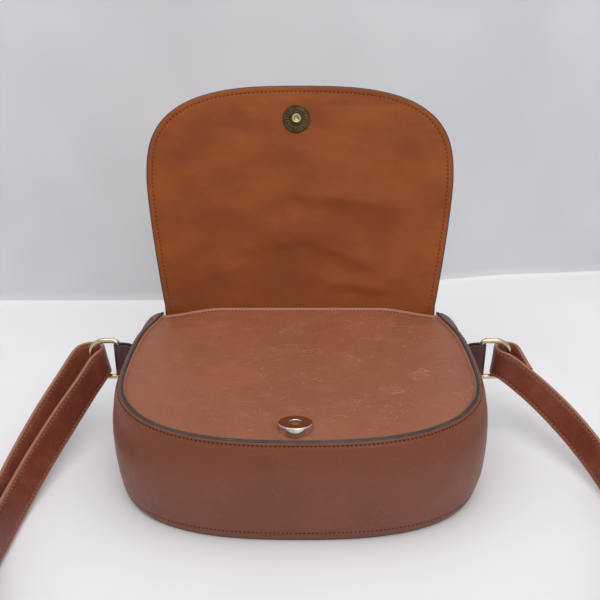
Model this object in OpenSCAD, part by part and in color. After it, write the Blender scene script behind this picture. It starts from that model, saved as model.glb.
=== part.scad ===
// Saddle handbag, lying on its back with the flap standing open.
// X runs across the bag, +Y towards its mouth, and +Z up from the table.
// The origin is the middle of the back panel's outer face.

/* [Body] */
// Width of the front and back outlines at their widest
body_w = 205; // [180:1:240]
// Height of the body, from its bottom to its mouth
body_h = 138; // [120:1:170]
// Height of the rounded lower part of the outline
body_round_h = 67; // [50:1:80]
// How far each side draws in towards the mouth
body_taper = 8.5; // [2:0.5:12]
// Depth of the body at its bottom
bottom_depth = 57.5; // [45:0.5:75]
// Depth of the body at its mouth
mouth_depth = 77.5; // [70:0.5:95]
// How far the gusset bows out at the bottom
bottom_bulge = 3.5; // [1:0.5:8]
// How far the gusset bows out at the mouth
mouth_bulge = 11; // [8:0.5:14]
// How much further the gusset flares out right at the mouth
mouth_flare = 8; // [0:0.5:10]

/* [Flap] */
// How far the flap reaches beyond the snap
flap_past_snap = 21; // [15:0.5:26]
// How far each side of the flap lies inside the body's widest outline
flap_side_step = 1; // [0:0.5:4]
// Height of the rounded part of the flap
flap_round_h = 61; // [45:1:75]
// How far each side of the flap draws in towards the fold
flap_taper = 11; // [4:0.5:16]
// Angle by which the open flap leans back
flap_lean = 16.4; // [5:0.1:25]
// How far the snap lies short of the body's height, measured from the fold
snap_short = 14; // [12:0.5:24]

/* [Leather] */
// Thickness of the outer leather
leather_t = 1.4; // [1:0.1:1.8]
// Thickness of the stiffening boards
board_t = 1; // [0.8:0.1:1.4]
// Thickness of the lining
lining_t = 0.6; // [0.4:0.1:0.8]
// Height of the standing edge round the front panel
rim_h = 2.5; // [2:0.1:3]
// Thickness of the paint on the leather edges
paint_t = 0.6; // [0.4:0.1:0.8]

/* [Snap] */
// Diameter of the snap's socket
socket_d = 18.6; // [17:0.1:20]
// Height of the socket above the leather
socket_h = 4.5; // [4:0.1:5.5]
// Diameter of the socket's hole
socket_hole_d = 6.8; // [6.6:0.1:7.4]
// Diameter of the plate that carries the stud
plate_d = 18.3; // [17:0.1:20]
// Thickness of the plate
plate_t = 0.9; // [0.7:0.1:1.2]
// Diameter of the stud
stud_d = 6; // [5:0.1:6.2]
// Height of the stud above its plate
stud_h = 2.6; // [2:0.1:3]
// How far the snap sits to the left of the middle
snap_offset = 2.4; // [0:0.1:4]

/* [Rings and tabs] */
// Thickness of the ring's wire
ring_wire = 3.5; // [3:0.1:3.8]
// Inner height of the ring
ring_in_h = 23; // [22.5:0.5:26]
// Inner width of the ring
ring_in_w = 15.5; // [15:0.5:22]
// Width of the tab that holds a ring
tab_w = 21; // [17:0.5:21.5]
// Distance from the mouth to the tab's loop
tab_drop = 12; // [11:0.5:20]
// Height of the ring's middle above the table
ring_z = 45.5; // [40:0.5:48]

/* [Strap] */
// Width of the strap
strap_w = 18.5; // [16:0.5:19.5]
// Thickness of the strap
strap_t = 3; // [2.4:0.1:3]
// How far the strap's loop reaches beyond the bag's bottom
strap_reach = 140; // [120:1:180]
// Half the width that the strap's right side spreads to
right_spread = 200; // [180:1:230]
// Half the width that the strap's left side spreads to
left_spread = 200; // [190:1:230]
// Length of the sewn tail at the right ring
tail_len = 20; // [18:1:30]

/* [Hidden] */

$fn = 64;
overrun = 1;
running_gap = 0.4;
press_gap = 0.15;

// The outline's curve
corner_steps = 20;
side_steps = 10;
corner_share = 0.62;
body_power = 2.6;
flap_power = 2.9;
body_bend = 2;
flap_bend = 1.3;

// The gusset's bow
depth_steps = 10;
edge_share = 0.045;
bow_power = 0.5;
rise_power = 1.5;
flare_share = 0.8;
flare_power = 2;

// Layers, counted from the outer face inwards
layers_t = leather_t + board_t + lining_t;
stack_t = leather_t + board_t;

// The front panel's slope
front_slope = atan((mouth_depth - bottom_depth) / body_h);
bottom_y = -body_h / 2;
mouth_y = body_h / 2;
side_len = body_h - body_round_h;
field = 4 * body_w;

// The flap and its snap, whose sizes follow the body's
snap_reach = body_h - snap_short;
flap_len = snap_reach + flap_past_snap;
flap_w = body_w - 2 * flap_side_step;

// The lid, which covers the mouth, and the flap's fold
lid_y = mouth_y + running_gap;
lid_low = leather_t + running_gap + press_gap;
fold_lift = 1.2;
fold_z = mouth_depth + fold_lift;
fold_y = lid_y;
fold_gap = 0.3;
fold_w = flap_w - 2 * flap_taper;
lid_top = fold_z - fold_gap - layers_t * sin(flap_lean);

// Where the closed flap stops
snap_stack = socket_h + plate_t + running_gap;
fold_above_front = (fold_z - front_height(fold_y)) * cos(front_slope);
closing_tilt = asin((snap_stack - fold_above_front) / snap_reach);
closed_slope = front_slope - closing_tilt;
socket_y = fold_y - snap_reach * cos(closed_slope)
    + snap_stack * sin(front_slope);

// Small sizes of the snap
socket_wall = 0.6;
prong_w = 4;
prong_t = 0.5;
prong_x = 4.5;
washer_d = 14;
washer_t = 0.8;

// The ring's bar and the tab's loop
bar_gap = 0.5;
loop_stand = 3.5;
tab_y = mouth_y - tab_drop;
tab_patch_len = 24;
tab_layers = 2;
tab_gap = 0.45;
tab_t = tab_layers * leather_t;
tab_share = side_share(tab_y);
tab_base_share = side_share(tab_y - tab_patch_len);
tab_high_share = side_share(tab_y + tab_w / 2);
loop_low_x = max(wall_x(tab_share) + tab_t, wall_x(tab_high_share)) + tab_gap;
loop_in_r = ring_wire / 2 + bar_gap;
loop_out_r = loop_in_r + leather_t;
bar_x = loop_low_x + loop_out_r + loop_stand;
ring_corner_r = 9.5;
ring_bar_corner_r = 4;
ring_half_h = (ring_in_h + ring_wire) / 2;
ring_out_x = bar_x + ring_in_w + ring_wire;

// The strap's loops round the rings, which rest on the rings' lower wires
turn_play = 6;
turn_gap = 0.8;
turn_r = ring_wire / 2 + turn_play + strap_t / 2;
turn_z = ring_z - (ring_in_h - strap_w) / 2 + turn_gap;
turn_steps = 8;
leg_steps = 26;
tail_steps = 7;
inner_steps = 16;
wrap_steps = 6;
lay_gap = 0.5;
fall_share = 0.4;
fall_power = 1.5;
open_power = 2;
right_exit = 60;
left_exit = 36;
right_pull = 85;
left_pull = 50;
front_y = bottom_y - strap_reach;

// The slider on the strap's left side
slider_share = 0.6;
slider_wire = 2.2;
slider_half_len = 12;
slider_side_gap = 0.8;
slider_rise = 3.8;
slider_zone_share = 0.12;
weave_steps = 12;
slider_half_h = strap_w / 2 + slider_side_gap + slider_wire / 2;
slider_main_off = strap_t + lay_gap;
slider_plane_off = slider_main_off + strap_t / 2 + slider_wire / 2 + lay_gap;
slider_turn_r = slider_wire / 2 + lay_gap + strap_t / 2;
slider_over_off = slider_plane_off + slider_turn_r + strap_t + lay_gap;

// Direction of a vector, with a length of 1
function unit(v) = v / norm(v);

// Height of the front panel's outer face
function front_height(y) = bottom_depth + (y - bottom_y) * tan(front_slope);

// Half of an outline that is round at one end: point and outward normal.
// The share runs from 0 at the round end's middle to 1 at the straight end.
function outline_place(share, half_w, round_h, side, taper, power, bend) =
    share < corner_share
    ? let (
        turn = 90 * share / corner_share,
        x = half_w * pow(sin(turn), 2 / power),
        y = round_h * pow(cos(turn), 2 / power),
        n = unit([pow(x / half_w, power - 1) / half_w, -pow(y / round_h, power - 1) / round_h]))
        [[x, round_h - y], n]
    : let (
        along = (share - corner_share) / (1 - corner_share),
        x = half_w - taper * pow(along, bend),
        n = unit([1, taper * bend * pow(along, bend - 1) / side]))
        [[x, round_h + side * along], n];

// Shares along half an outline, closer together round the corner
function half_shares() = concat(
    [for (i = [0:corner_steps - 1]) corner_share * i / corner_steps],
    [for (i = [0:side_steps]) corner_share + (1 - corner_share) * i / side_steps]
);

// A place moved inwards. Along the straight side it keeps its distance from the mouth.
function inset_place(place, inset, share) =
    share < corner_share
    ? place[0] - inset * place[1]
    : [place[0].x - inset / place[1].x, place[0].y];

// The whole outline, from the left end round to the right end
function outline_line(inset, half_w, round_h, side, taper, power, bend) =
    let (
        half = [for (share = half_shares())
            inset_place(outline_place(share, half_w, round_h, side, taper, power, bend), inset, share)])
    concat(
        [for (i = [len(half) - 1:-1:1]) [-half[i].x, half[i].y]],
        half
    );

function body_line(inset) =
    outline_line(inset, body_w / 2, body_round_h, side_len, body_taper, body_power, body_bend);

function flap_line(inset) =
    outline_line(inset, flap_w / 2, flap_round_h, flap_len - flap_round_h,
        flap_taper, flap_power, flap_bend);

// Share of the outline at a place along the body's side
function side_share(y) = corner_share + (1 - corner_share) * (y - bottom_y - body_round_h) / side_len;

// How far the gusset bows out at a share of the outline and of the depth
function bow(share, depth_share) =
    (bottom_bulge + (mouth_bulge - bottom_bulge) * pow(share, rise_power)
        + mouth_flare * pow(max(0, (share - flare_share) / (1 - flare_share)), flare_power))
    * pow(sin(180 * depth_share), bow_power);

// A point of the gusset's wall, moved outwards from its outer face.
// Its side is 1 on the right and -1 on the left.
function wall_point(share, side, depth_share, out, low, lift) =
    let (
        place = outline_place(share, body_w / 2, body_round_h, side_len, body_taper, body_power, body_bend),
        push = out + bow(share, depth_share),
        flat = inset_place(place, -push, share),
        y = flat.y + bottom_y,
        high = front_height(y) + lift)
    [side * flat.x, y, low + (high - low) * depth_share];

function wall_x(share) = wall_point(share, 1, 0.5, 0, 0, 0).x;

// Faces of a thick sheet: two grids of points, back grid first
function sheet_faces(columns, rows) =
    let (count = columns * rows)
    concat(
        [for (r = [0:rows - 2]) for (c = [0:columns - 2])
            let (a = r * columns + c) [a, a + 1, a + columns + 1, a + columns]],
        [for (r = [0:rows - 2]) for (c = [0:columns - 2])
            let (a = count + r * columns + c) [a, a + columns, a + columns + 1, a + 1]],
        [for (c = [0:columns - 2]) [c, c + count, c + count + 1, c + 1]],
        [for (c = [0:columns - 2])
            let (a = (rows - 1) * columns + c) [a, a + 1, a + count + 1, a + count]],
        [for (r = [0:rows - 2])
            let (a = r * columns) [a, a + columns, a + columns + count, a + count]],
        [for (r = [0:rows - 2])
            let (a = r * columns + columns - 1) [a, a + count, a + columns + count, a + columns]]
    );

// A sheet that follows the gusset's wall between two distances from its outer face
module wall_sheet(places, depth_shares, back_out, front_out, low, lift) {
    polyhedron(
        points = [
            for (out = [back_out, front_out])
            for (depth_share = depth_shares)
            for (place = places)
                wall_point(place[0], place[1], depth_share, out, low, lift)
        ],
        faces = sheet_faces(len(places), len(depth_shares)),
        convexity = 8
    );
}

// Places all round the body, from the left end of the mouth to the right end
function all_places() =
    let (shares = half_shares())
    concat(
        [for (i = [len(shares) - 1:-1:1]) [shares[i], -1]],
        [for (share = shares) [share, 1]]
    );

// Shares of the depth between the lining's two edges, and the same with the gusset's own edges
function lining_shares() = concat(
    [edge_share], [for (i = [1:depth_steps - 1]) i / depth_steps], [1 - edge_share]);
function depth_shares() = concat([0], lining_shares(), [1]);

// An upright block inside the body's outline
module body_block(inset, high, past = 0) {
    line = body_line(inset);
    end = line[len(line) - 1];
    translate([0, bottom_y, 0])
        linear_extrude(height = high)
            polygon(concat(line, [[end.x, end.y + past], [-end.x, end.y + past]]));
}

// The space between two planes that follow the front panel's slope
module front_slab(low, high) {
    translate([0, bottom_y, bottom_depth])
        rotate([front_slope, 0, 0])
            translate([-field / 2, -field / 2, low])
                cube([field, field, high - low]);
}

// One layer of the front, cut to the body's outline
module front_layer(inset, low, high, past = 0) {
    intersection() {
        body_block(inset, mouth_depth + field, past);
        front_slab(low, high);
    }
}

// Puts a thing on the front panel, square to it, at the snap's place
module at_socket() {
    translate([-snap_offset, socket_y, front_height(socket_y)])
        rotate([front_slope, 0, 0])
            children();
}

// Two flat prongs that run down from a height of zero
module prongs(depth, spare) {
    for (side = [-1, 1])
        translate([side * prong_x - prong_t / 2 - spare, -prong_w / 2 - spare, -depth])
            cube([prong_t + 2 * spare, prong_w + 2 * spare, depth + (spare > 0 ? overrun : 0)]);
}

module front_panel() {
    color("sienna")
    difference() {
        union() {
            front_layer(leather_t, -leather_t, 0);
            difference() {
                front_layer(leather_t, -leather_t / 2, rim_h - paint_t);
                front_layer(2 * leather_t, -leather_t, rim_h + overrun, overrun);
            }
        }
        at_socket() prongs(leather_t + overrun, press_gap);
    }
}

module front_edge_paint() {
    color("dimgray")
    difference() {
        front_layer(0, rim_h - paint_t, rim_h);
        front_layer(2 * leather_t, 0, rim_h + overrun, overrun);
    }
}

module front_board() {
    color("burlywood")
    difference() {
        front_layer(leather_t, -stack_t, -leather_t);
        at_socket()
            translate([0, 0, -stack_t - overrun])
                cylinder(d = washer_d + 2 * running_gap, h = board_t + 2 * overrun);
    }
}

module front_lining() {
    color("peru")
    front_layer(leather_t + lining_t, -layers_t, -stack_t);
}

module back_panel() {
    color("sienna")
    body_block(leather_t, leather_t);
}

module back_edge_paint() {
    color("dimgray")
    difference() {
        body_block(0, paint_t);
        translate([0, 0, -overrun])
            body_block(leather_t, paint_t + 2 * overrun, overrun);
    }
}

module back_board() {
    color("burlywood")
    translate([0, 0, leather_t])
        body_block(leather_t, board_t);
}

module back_lining() {
    color("peru")
    translate([0, 0, stack_t])
        body_block(leather_t + lining_t, lining_t);
}

module gusset() {
    color("saddlebrown")
    wall_sheet(all_places(), depth_shares(), -leather_t, 0,
        paint_t, (rim_h - paint_t) / cos(front_slope));
}

module gusset_lining() {
    color("peru")
    wall_sheet(all_places(), lining_shares(), -leather_t - lining_t, -leather_t,
        paint_t, (rim_h - paint_t) / cos(front_slope));
}

// The two sewn ends of a tab, lying on the gusset
module tab_patch(side) {
    steps = 6;
    low_share = (ring_z - tab_w / 2) / front_height(tab_y);
    high_share = (ring_z + tab_w / 2) / front_height(tab_y);
    places = [for (i = [0:steps])
        [tab_base_share + (tab_share - tab_base_share) * i / steps, 1]];
    depths = [for (i = [0:steps]) low_share + (high_share - low_share) * i / steps];
    mirror([side < 0 ? 1 : 0, 0, 0])
        wall_sheet(places, depths, press_gap, press_gap + tab_t,
            paint_t, (rim_h - paint_t) / cos(front_slope));
}

module left_tab_patch() {
    color("maroon") tab_patch(-1);
}

module right_tab_patch() {
    color("maroon") tab_patch(1);
}

module snap_socket() {
    ring_r = (socket_d - socket_hole_d) / 2;
    color("silver")
    at_socket() {
        rotate_extrude()
            difference() {
                translate([socket_hole_d / 2, 0])
                    square([ring_r, socket_h]);
                translate([socket_hole_d / 2 + socket_wall, socket_wall])
                    square([ring_r - 2 * socket_wall, socket_h - 2 * socket_wall]);
            }
        prongs(leather_t + washer_t, 0);
    }
}

module snap_magnet() {
    color("dimgray")
    at_socket()
        translate([0, 0, socket_wall])
            difference() {
                cylinder(d = socket_d - 2 * socket_wall - press_gap, h = socket_h - 2 * socket_wall);
                translate([0, 0, -overrun])
                    cylinder(d = socket_hole_d + 2 * socket_wall + press_gap, h = socket_h + 2 * overrun);
            }
}

module washer() {
    difference() {
        translate([0, 0, -washer_t])
            cylinder(d = washer_d, h = washer_t);
        prongs(washer_t + overrun, press_gap);
    }
}

module socket_washer() {
    color("silver")
    at_socket()
        translate([0, 0, -leather_t])
            washer();
}

// One layer of the lid, counted from its lining's inner face
module lid_layer(low, high) {
    translate([-fold_w / 2, lid_y + low, lid_low])
        cube([fold_w, high - low, lid_top - lid_low]);
}

module lid_leather() {
    color("sienna") lid_layer(layers_t - leather_t, layers_t);
}

module lid_board() {
    color("burlywood") lid_layer(lining_t, lining_t + board_t);
}

module lid_lining() {
    color("chocolate") lid_layer(0, lining_t);
}

// Puts a thing on the open flap: X across, Y from the fold to the tip,
// and Z square to the lining's face
module at_flap() {
    translate([0, fold_y, fold_z])
        rotate([90 - flap_lean, 0, 0])
            children();
}

module flap_layer(inset, low, high) {
    line = flap_line(inset);
    base = flap_len - fold_gap;
    points = [for (p = line) [p.x, flap_len - min(p.y, base)]];
    at_flap()
        translate([0, 0, -high])
            linear_extrude(height = high - low)
                polygon(points);
}

module at_plate() {
    at_flap()
        translate([-snap_offset, snap_reach, 0])
            children();
}

module flap_leather() {
    color("sienna") flap_layer(0, layers_t - leather_t, layers_t);
}

module flap_board() {
    color("burlywood")
    difference() {
        flap_layer(leather_t, lining_t, lining_t + board_t);
        at_plate()
            translate([0, 0, -layers_t])
                cylinder(d = washer_d + 2 * running_gap, h = layers_t + overrun);
    }
}

module flap_lining() {
    color("chocolate")
    difference() {
        flap_layer(0, 0, lining_t);
        at_plate() prongs(lining_t + overrun, press_gap);
    }
}

module snap_plate() {
    color("darkgoldenrod")
    at_plate() {
        cylinder(d = plate_d, h = plate_t);
        cylinder(d = stud_d, h = plate_t + stud_h);
        prongs(lining_t + washer_t, 0);
    }
}

module plate_washer() {
    color("silver")
    at_plate()
        translate([0, 0, -lining_t])
            washer();
}

// The outline of the tab's loop, seen along the ring's bar
module loop_shape(r, reach) {
    circle(r = r);
    polygon([[0, r], [-reach, r / 2], [-reach, -r / 2], [0, -r]]);
}

module tab_loop(side) {
    reach = bar_x - loop_low_x;
    mirror([side < 0 ? 1 : 0, 0, 0])
        translate([bar_x, tab_y, ring_z - tab_w / 2])
            linear_extrude(height = tab_w)
                difference() {
                    loop_shape(loop_out_r, reach);
                    loop_shape(loop_in_r, reach - leather_t);
                }
}

module left_tab_loop() {
    color("maroon") tab_loop(-1);
}

module right_tab_loop() {
    color("maroon") tab_loop(1);
}

// A quarter bend of wire, round an axis along Y, that starts along Z
module wire_bend(r, start) {
    rotate([90, 0, 0])
        rotate_extrude(angle = 90, start = start)
            translate([r, 0])
                circle(d = ring_wire);
}

// A straight wire between two points of the ring's plane, given as X and Z
module ring_wire_between(a, b) {
    run = norm(b - a);
    translate([a.x, 0, a.y])
        rotate([0, atan2(b.x - a.x, b.y - a.y), 0])
            cylinder(d = ring_wire, h = run);
}

module ring(side) {
    reach = ring_out_x - bar_x;
    flat_h = ring_half_h - ring_corner_r;
    bar_h = ring_half_h - ring_bar_corner_r;
    mirror([side < 0 ? 1 : 0, 0, 0])
        translate([bar_x, tab_y, ring_z]) {
            ring_wire_between([0, -bar_h], [0, bar_h]);
            ring_wire_between([reach, -flat_h], [reach, flat_h]);
            for (up = [-1, 1]) {
                ring_wire_between([ring_bar_corner_r, up * ring_half_h],
                    [reach - ring_corner_r, up * ring_half_h]);
                translate([reach - ring_corner_r, 0, up * flat_h])
                    wire_bend(ring_corner_r, up > 0 ? 0 : 270);
                translate([ring_bar_corner_r, 0, up * bar_h])
                    wire_bend(ring_bar_corner_r, up > 0 ? 90 : 180);
            }
        }
}

module left_ring() {
    color("gold") ring(-1);
}

module right_ring() {
    color("gold") ring(1);
}

// A cubic curve through its first and last points
function curve_point(a, b, c, d, t) =
    pow(1 - t, 3) * a + 3 * pow(1 - t, 2) * t * b + 3 * (1 - t) * t * t * c + t * t * t * d;

function curve_slope(a, b, c, d, t) =
    3 * pow(1 - t, 2) * (b - a) + 6 * (1 - t) * t * (c - b) + 3 * t * t * (d - c);

// The leg of the strap on one side, seen from above, with its own side of the bag
// as positive X. It runs from its ring to the middle of the strap's front.
function leg_exit(side) = side > 0 ? right_exit : left_exit;
function leg_start(side) =
    [ring_out_x, tab_y] - turn_r * [cos(leg_exit(side)), sin(leg_exit(side))];
function leg_pull(side) =
    leg_start(side) + (side > 0 ? right_pull : left_pull) * [sin(leg_exit(side)), -cos(leg_exit(side))];
function leg_spread(side) = [side > 0 ? right_spread : left_spread, front_y];
function leg_end() = [0, front_y];

function leg_plan(side, t) =
    curve_point(leg_start(side), leg_pull(side), leg_spread(side), leg_end(), t);

function leg_slope(side, t) =
    curve_slope(leg_start(side), leg_pull(side), leg_spread(side), leg_end(), t);

// Height of the strap's middle line above the table
function leg_height(side, t) =
    strap_w / 2
    + (turn_z - strap_w / 2) * pow(max(0, 1 - t / fall_share), fall_power)
    + (side < 0 ? slider_rise * exp(-pow((t - slider_share) / slider_zone_share, 2)) : 0);

// A point that stands outside the leg's line by a distance
function leg_point(side, t, off) =
    let (run = unit(leg_slope(side, t)), p = leg_plan(side, t) + off * [-run.y, run.x])
    [side * p.x, p.y, leg_height(side, t)];

// Share of the left leg at a distance beyond the slider's middle bar
slider_speed = norm(leg_slope(-1, slider_share));
function slider_t(s) = slider_share + s / slider_speed;

// From 0 at the slider's end bars to 1 at its middle bar
function weave(t) =
    let (s = (t - slider_share) * slider_speed)
    abs(s) < slider_half_len ? (1 + cos(180 * s / slider_half_len)) / 2 : 0;

// How far two layers lie apart that meet at a ring's loop and close up towards an end
function layers_apart(t, end_t) =
    strap_t + lay_gap + (2 * turn_r - strap_t - lay_gap) * pow(max(0, 1 - t / end_t), open_power);

// How far the left side's outer layer stands outside the leg's line
function main_off(t) =
    let (end_t = slider_t(slider_half_len))
    layers_apart(t, slider_t(-slider_half_len)) * (t > end_t ? (1 - t) / (1 - end_t) : 1)
    + (slider_over_off - slider_main_off) * weave(t);

// The turn round a ring's outer wire, from the outer layer to the inner one
function turn_points(side) = [
    for (i = [1:turn_steps - 1])
    let (a = leg_exit(side) + 180 * i / turn_steps)
        [side * (ring_out_x + turn_r * cos(a)), tab_y + turn_r * sin(a), turn_z]
];

// The turn of the strap's end round the slider's middle bar
function wrap_points() = [
    for (i = [0:wrap_steps])
    let (
        a = 180 * i / wrap_steps - 90,
        t = slider_t(slider_turn_r * cos(a)))
        leg_point(-1, t, slider_plane_off + slider_turn_r * sin(a))
];

tail_t = tail_len / norm(leg_slope(1, 0));

// The strap's middle line, from its tail at the right ring to its end at the slider
function strap_line() = concat(
    [for (i = [tail_steps:-1:0]) let (t = tail_t * i / tail_steps) leg_point(1, t, layers_apart(t, tail_t))],
    turn_points(1),
    [for (i = [0:leg_steps]) leg_point(1, i / leg_steps, 0)],
    [for (i = [leg_steps - 1:-1:weave_steps]) let (t = left_t(i)) leg_point(-1, t, main_off(t))],
    [for (i = [weave_steps - 1:-1:0]) let (t = slider_t(slider_half_len * (2 * i / weave_steps - 1)))
        leg_point(-1, t, main_off(t))],
    [for (i = [inner_steps - 1:-1:0]) let (t = slider_t(-slider_half_len) * i / inner_steps)
        leg_point(-1, t, layers_apart(t, slider_t(-slider_half_len)))],
    turn_points(-1),
    [for (i = [0:inner_steps - 1]) let (t = slider_t(-slider_half_len) * i / inner_steps)
        leg_point(-1, t, 0)],
    [for (i = [0:wrap_steps - 1]) let (t = slider_t(-slider_half_len * (1 - i / wrap_steps)))
        leg_point(-1, t, (slider_plane_off - slider_turn_r) * weave(t))],
    wrap_points()
);

// Share of the left leg at a step of its outer layer beyond the slider
function left_t(i) =
    let (start_t = slider_t(slider_half_len))
    start_t + (1 - start_t) * (i - weave_steps) / (leg_steps - weave_steps);

// A flat strip on edge along a line, with its width upright
module strip_on_edge(line, width, thick) {
    last = len(line) - 1;
    points = [
        for (i = [0:last])
        let (
            run = line[min(i + 1, last)] - line[max(i - 1, 0)],
            out = thick / 2 * unit([-run.y, run.x, 0]),
            up = [0, 0, width / 2])
        each [line[i] - out - up, line[i] + out - up, line[i] + out + up, line[i] - out + up]
    ];
    sides = [
        for (i = [0:last - 1]) for (k = [0:3])
            [4 * i + k, 4 * i + (k + 1) % 4, 4 * i + 4 + (k + 1) % 4, 4 * i + 4 + k]
    ];
    polyhedron(
        points = points,
        faces = concat(sides, [[3, 2, 1, 0], [for (k = [0:3]) 4 * last + k]]),
        convexity = 10
    );
}

module strap() {
    color("brown") strip_on_edge(strap_line(), strap_w, strap_t);
}

// A stamped plate on edge beside the strap, with a slot on each side of its middle bar
module slider() {
    bars = [for (s = [-1, 0, 1]) leg_point(-1, slider_t(s * slider_half_len), slider_plane_off)];
    run = bars[2] - bars[0];
    middle = (bars[0] + bars[2] + 2 * bars[1]) / 4;
    slot_h = 2 * slider_half_h - slider_wire;
    slot_w = slider_half_len - slider_wire;
    color("gold")
    translate([middle.x, middle.y, bars[1].z])
        rotate([90, 0, atan2(run.y, run.x)])
            translate([0, 0, -slider_wire / 2])
                linear_extrude(height = slider_wire)
                    difference() {
                        square([2 * slider_half_len + slider_wire, slot_h + 2 * slider_wire], center = true);
                        for (side = [-1, 1])
                            translate([side * slider_half_len / 2, 0])
                                square([slot_w, slot_h], center = true);
                    }
}

front_panel();
front_edge_paint();
front_board();
front_lining();
back_panel();
back_edge_paint();
back_board();
back_lining();
gusset();
gusset_lining();
left_tab_patch();
right_tab_patch();
snap_socket();
snap_magnet();
socket_washer();
lid_leather();
lid_board();
lid_lining();
flap_leather();
flap_board();
flap_lining();
snap_plate();
plate_washer();
strap();
left_tab_loop();
right_tab_loop();
slider();
left_ring();
right_ring();
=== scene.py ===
# Saddle handbag on a white table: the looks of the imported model.
# Lengths are millimetres until a mesh is made, and angles are degrees.

import random
from collections import namedtuple
from math import asin, atan, copysign, cos, exp, hypot, pi, radians, sin, tan

import bpy
import numpy as np
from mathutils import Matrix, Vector, noise


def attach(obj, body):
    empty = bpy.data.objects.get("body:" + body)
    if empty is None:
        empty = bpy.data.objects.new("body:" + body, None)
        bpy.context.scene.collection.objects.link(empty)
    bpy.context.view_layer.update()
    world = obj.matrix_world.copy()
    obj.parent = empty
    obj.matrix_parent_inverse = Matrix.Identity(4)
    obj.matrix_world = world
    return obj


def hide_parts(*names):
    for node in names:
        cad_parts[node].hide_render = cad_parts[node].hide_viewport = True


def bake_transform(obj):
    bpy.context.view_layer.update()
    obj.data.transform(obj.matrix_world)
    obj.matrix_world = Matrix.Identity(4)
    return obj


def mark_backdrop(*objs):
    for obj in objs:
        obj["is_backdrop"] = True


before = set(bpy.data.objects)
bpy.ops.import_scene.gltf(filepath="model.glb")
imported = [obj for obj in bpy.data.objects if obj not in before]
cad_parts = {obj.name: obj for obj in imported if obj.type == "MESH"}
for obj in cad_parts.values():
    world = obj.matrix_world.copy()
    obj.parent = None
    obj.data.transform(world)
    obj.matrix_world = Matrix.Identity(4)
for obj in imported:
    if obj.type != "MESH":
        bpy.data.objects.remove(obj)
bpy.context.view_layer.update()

MM = 0.001
SEED = 7
random.seed(SEED)

# Body
BODY_W = 205
BODY_H = 138
BODY_ROUND_H = 67
BODY_TAPER = 8.5
BOTTOM_DEPTH = 57.5
MOUTH_DEPTH = 77.5
BOTTOM_BULGE = 3.5
MOUTH_BULGE = 11
MOUTH_FLARE = 8
BODY_POWER = 2.6
BODY_BEND = 2
CORNER_SHARE = 0.62
BOW_POWER = 0.5
RISE_POWER = 1.5
FLARE_SHARE = 0.8
FLARE_POWER = 2

# Flap
FLAP_SHORT = 14
FLAP_PAST_SNAP = 21
FLAP_SIDE_STEP = 1
FLAP_ROUND_H = 61
FLAP_TAPER = 11
FLAP_LEAN = 16.4
FLAP_POWER = 2.9
FLAP_BEND = 1.3
FOLD_LIFT = 1.2
FOLD_R = 7

# Leather
LEATHER_T = 1.4
BOARD_T = 1
LINING_T = 0.6
RIM_H = 2.5
PAINT_T = 0.6
GAP = 0.4

# Snap
SOCKET_D = 18.6
SOCKET_H = 4.5
SOCKET_HOLE_D = 6.8
PLATE_D = 18.3
PLATE_T = 0.9
STUD_D = 6
STUD_H = 2.6
SNAP_OFFSET = 2.4

# Rings and tabs
RING_WIRE = 3.5
RING_IN_H = 23
RING_IN_W = 15.5
RING_CORNER_R = 9.5
RING_BAR_CORNER_R = 4
TAB_W = 21
TAB_DROP = 12
TAB_GAP = 0.45
TAB_PATCH_LEN = 24
RING_Z = 45.5
BAR_GAP = 0.5
LOOP_STAND = 3.5

# Strap
STRAP_W = 18.5
STRAP_T = 3
STRAP_REACH = 140
SPREAD = 200
TAIL_LEN = 13
TURN_PLAY = 6
TURN_GAP = 0.8
LAY_GAP = 0.5
FALL_SHARE = 0.4
FALL_POWER = 1.5
OPEN_POWER = 1.15

# Angle and length of the strap's pull out of each side's ring
EXITS = {1: 60, -1: 36}
PULLS = {1: 85, -1: 50}

# Slider
SLIDER_SHARE = 0.6
SLIDER_WIRE = 2.2
SLIDER_HALF_LEN = 12
SLIDER_RISE = 3.8
SLIDER_ZONE_SHARE = 0.12

# Derived places
BOTTOM_Y = -BODY_H / 2
MOUTH_Y = BODY_H / 2
SIDE_LEN = BODY_H - BODY_ROUND_H
SLOPE = atan((MOUTH_DEPTH - BOTTOM_DEPTH) / BODY_H)
LAYERS_T = LEATHER_T + BOARD_T + LINING_T
SNAP_REACH = BODY_H - FLAP_SHORT
FLAP_LEN = SNAP_REACH + FLAP_PAST_SNAP
FLAP_W = BODY_W - 2 * FLAP_SIDE_STEP
FOLD_Y = MOUTH_Y + GAP
FOLD_Z = MOUTH_DEPTH + FOLD_LIFT
FOLD_HALF_W = FLAP_W / 2 - FLAP_TAPER
FLAP_TURN = radians(90 - FLAP_LEAN)
TAB_Y = MOUTH_Y - TAB_DROP

# How the front sags at the mouth's corners
DROOP = 5.5
DROOP_ACROSS = (52, 94)
DROOP_ALONG = (MOUTH_Y - 42, MOUTH_Y + 2)

Outline = namedtuple("Outline", "half_w round_h side taper power bend")
BODY = Outline(BODY_W / 2, BODY_ROUND_H, SIDE_LEN, BODY_TAPER, BODY_POWER, BODY_BEND)
FLAP = Outline(FLAP_W / 2, FLAP_ROUND_H, FLAP_LEN - FLAP_ROUND_H, FLAP_TAPER, FLAP_POWER, FLAP_BEND)


# Outlines

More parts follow.
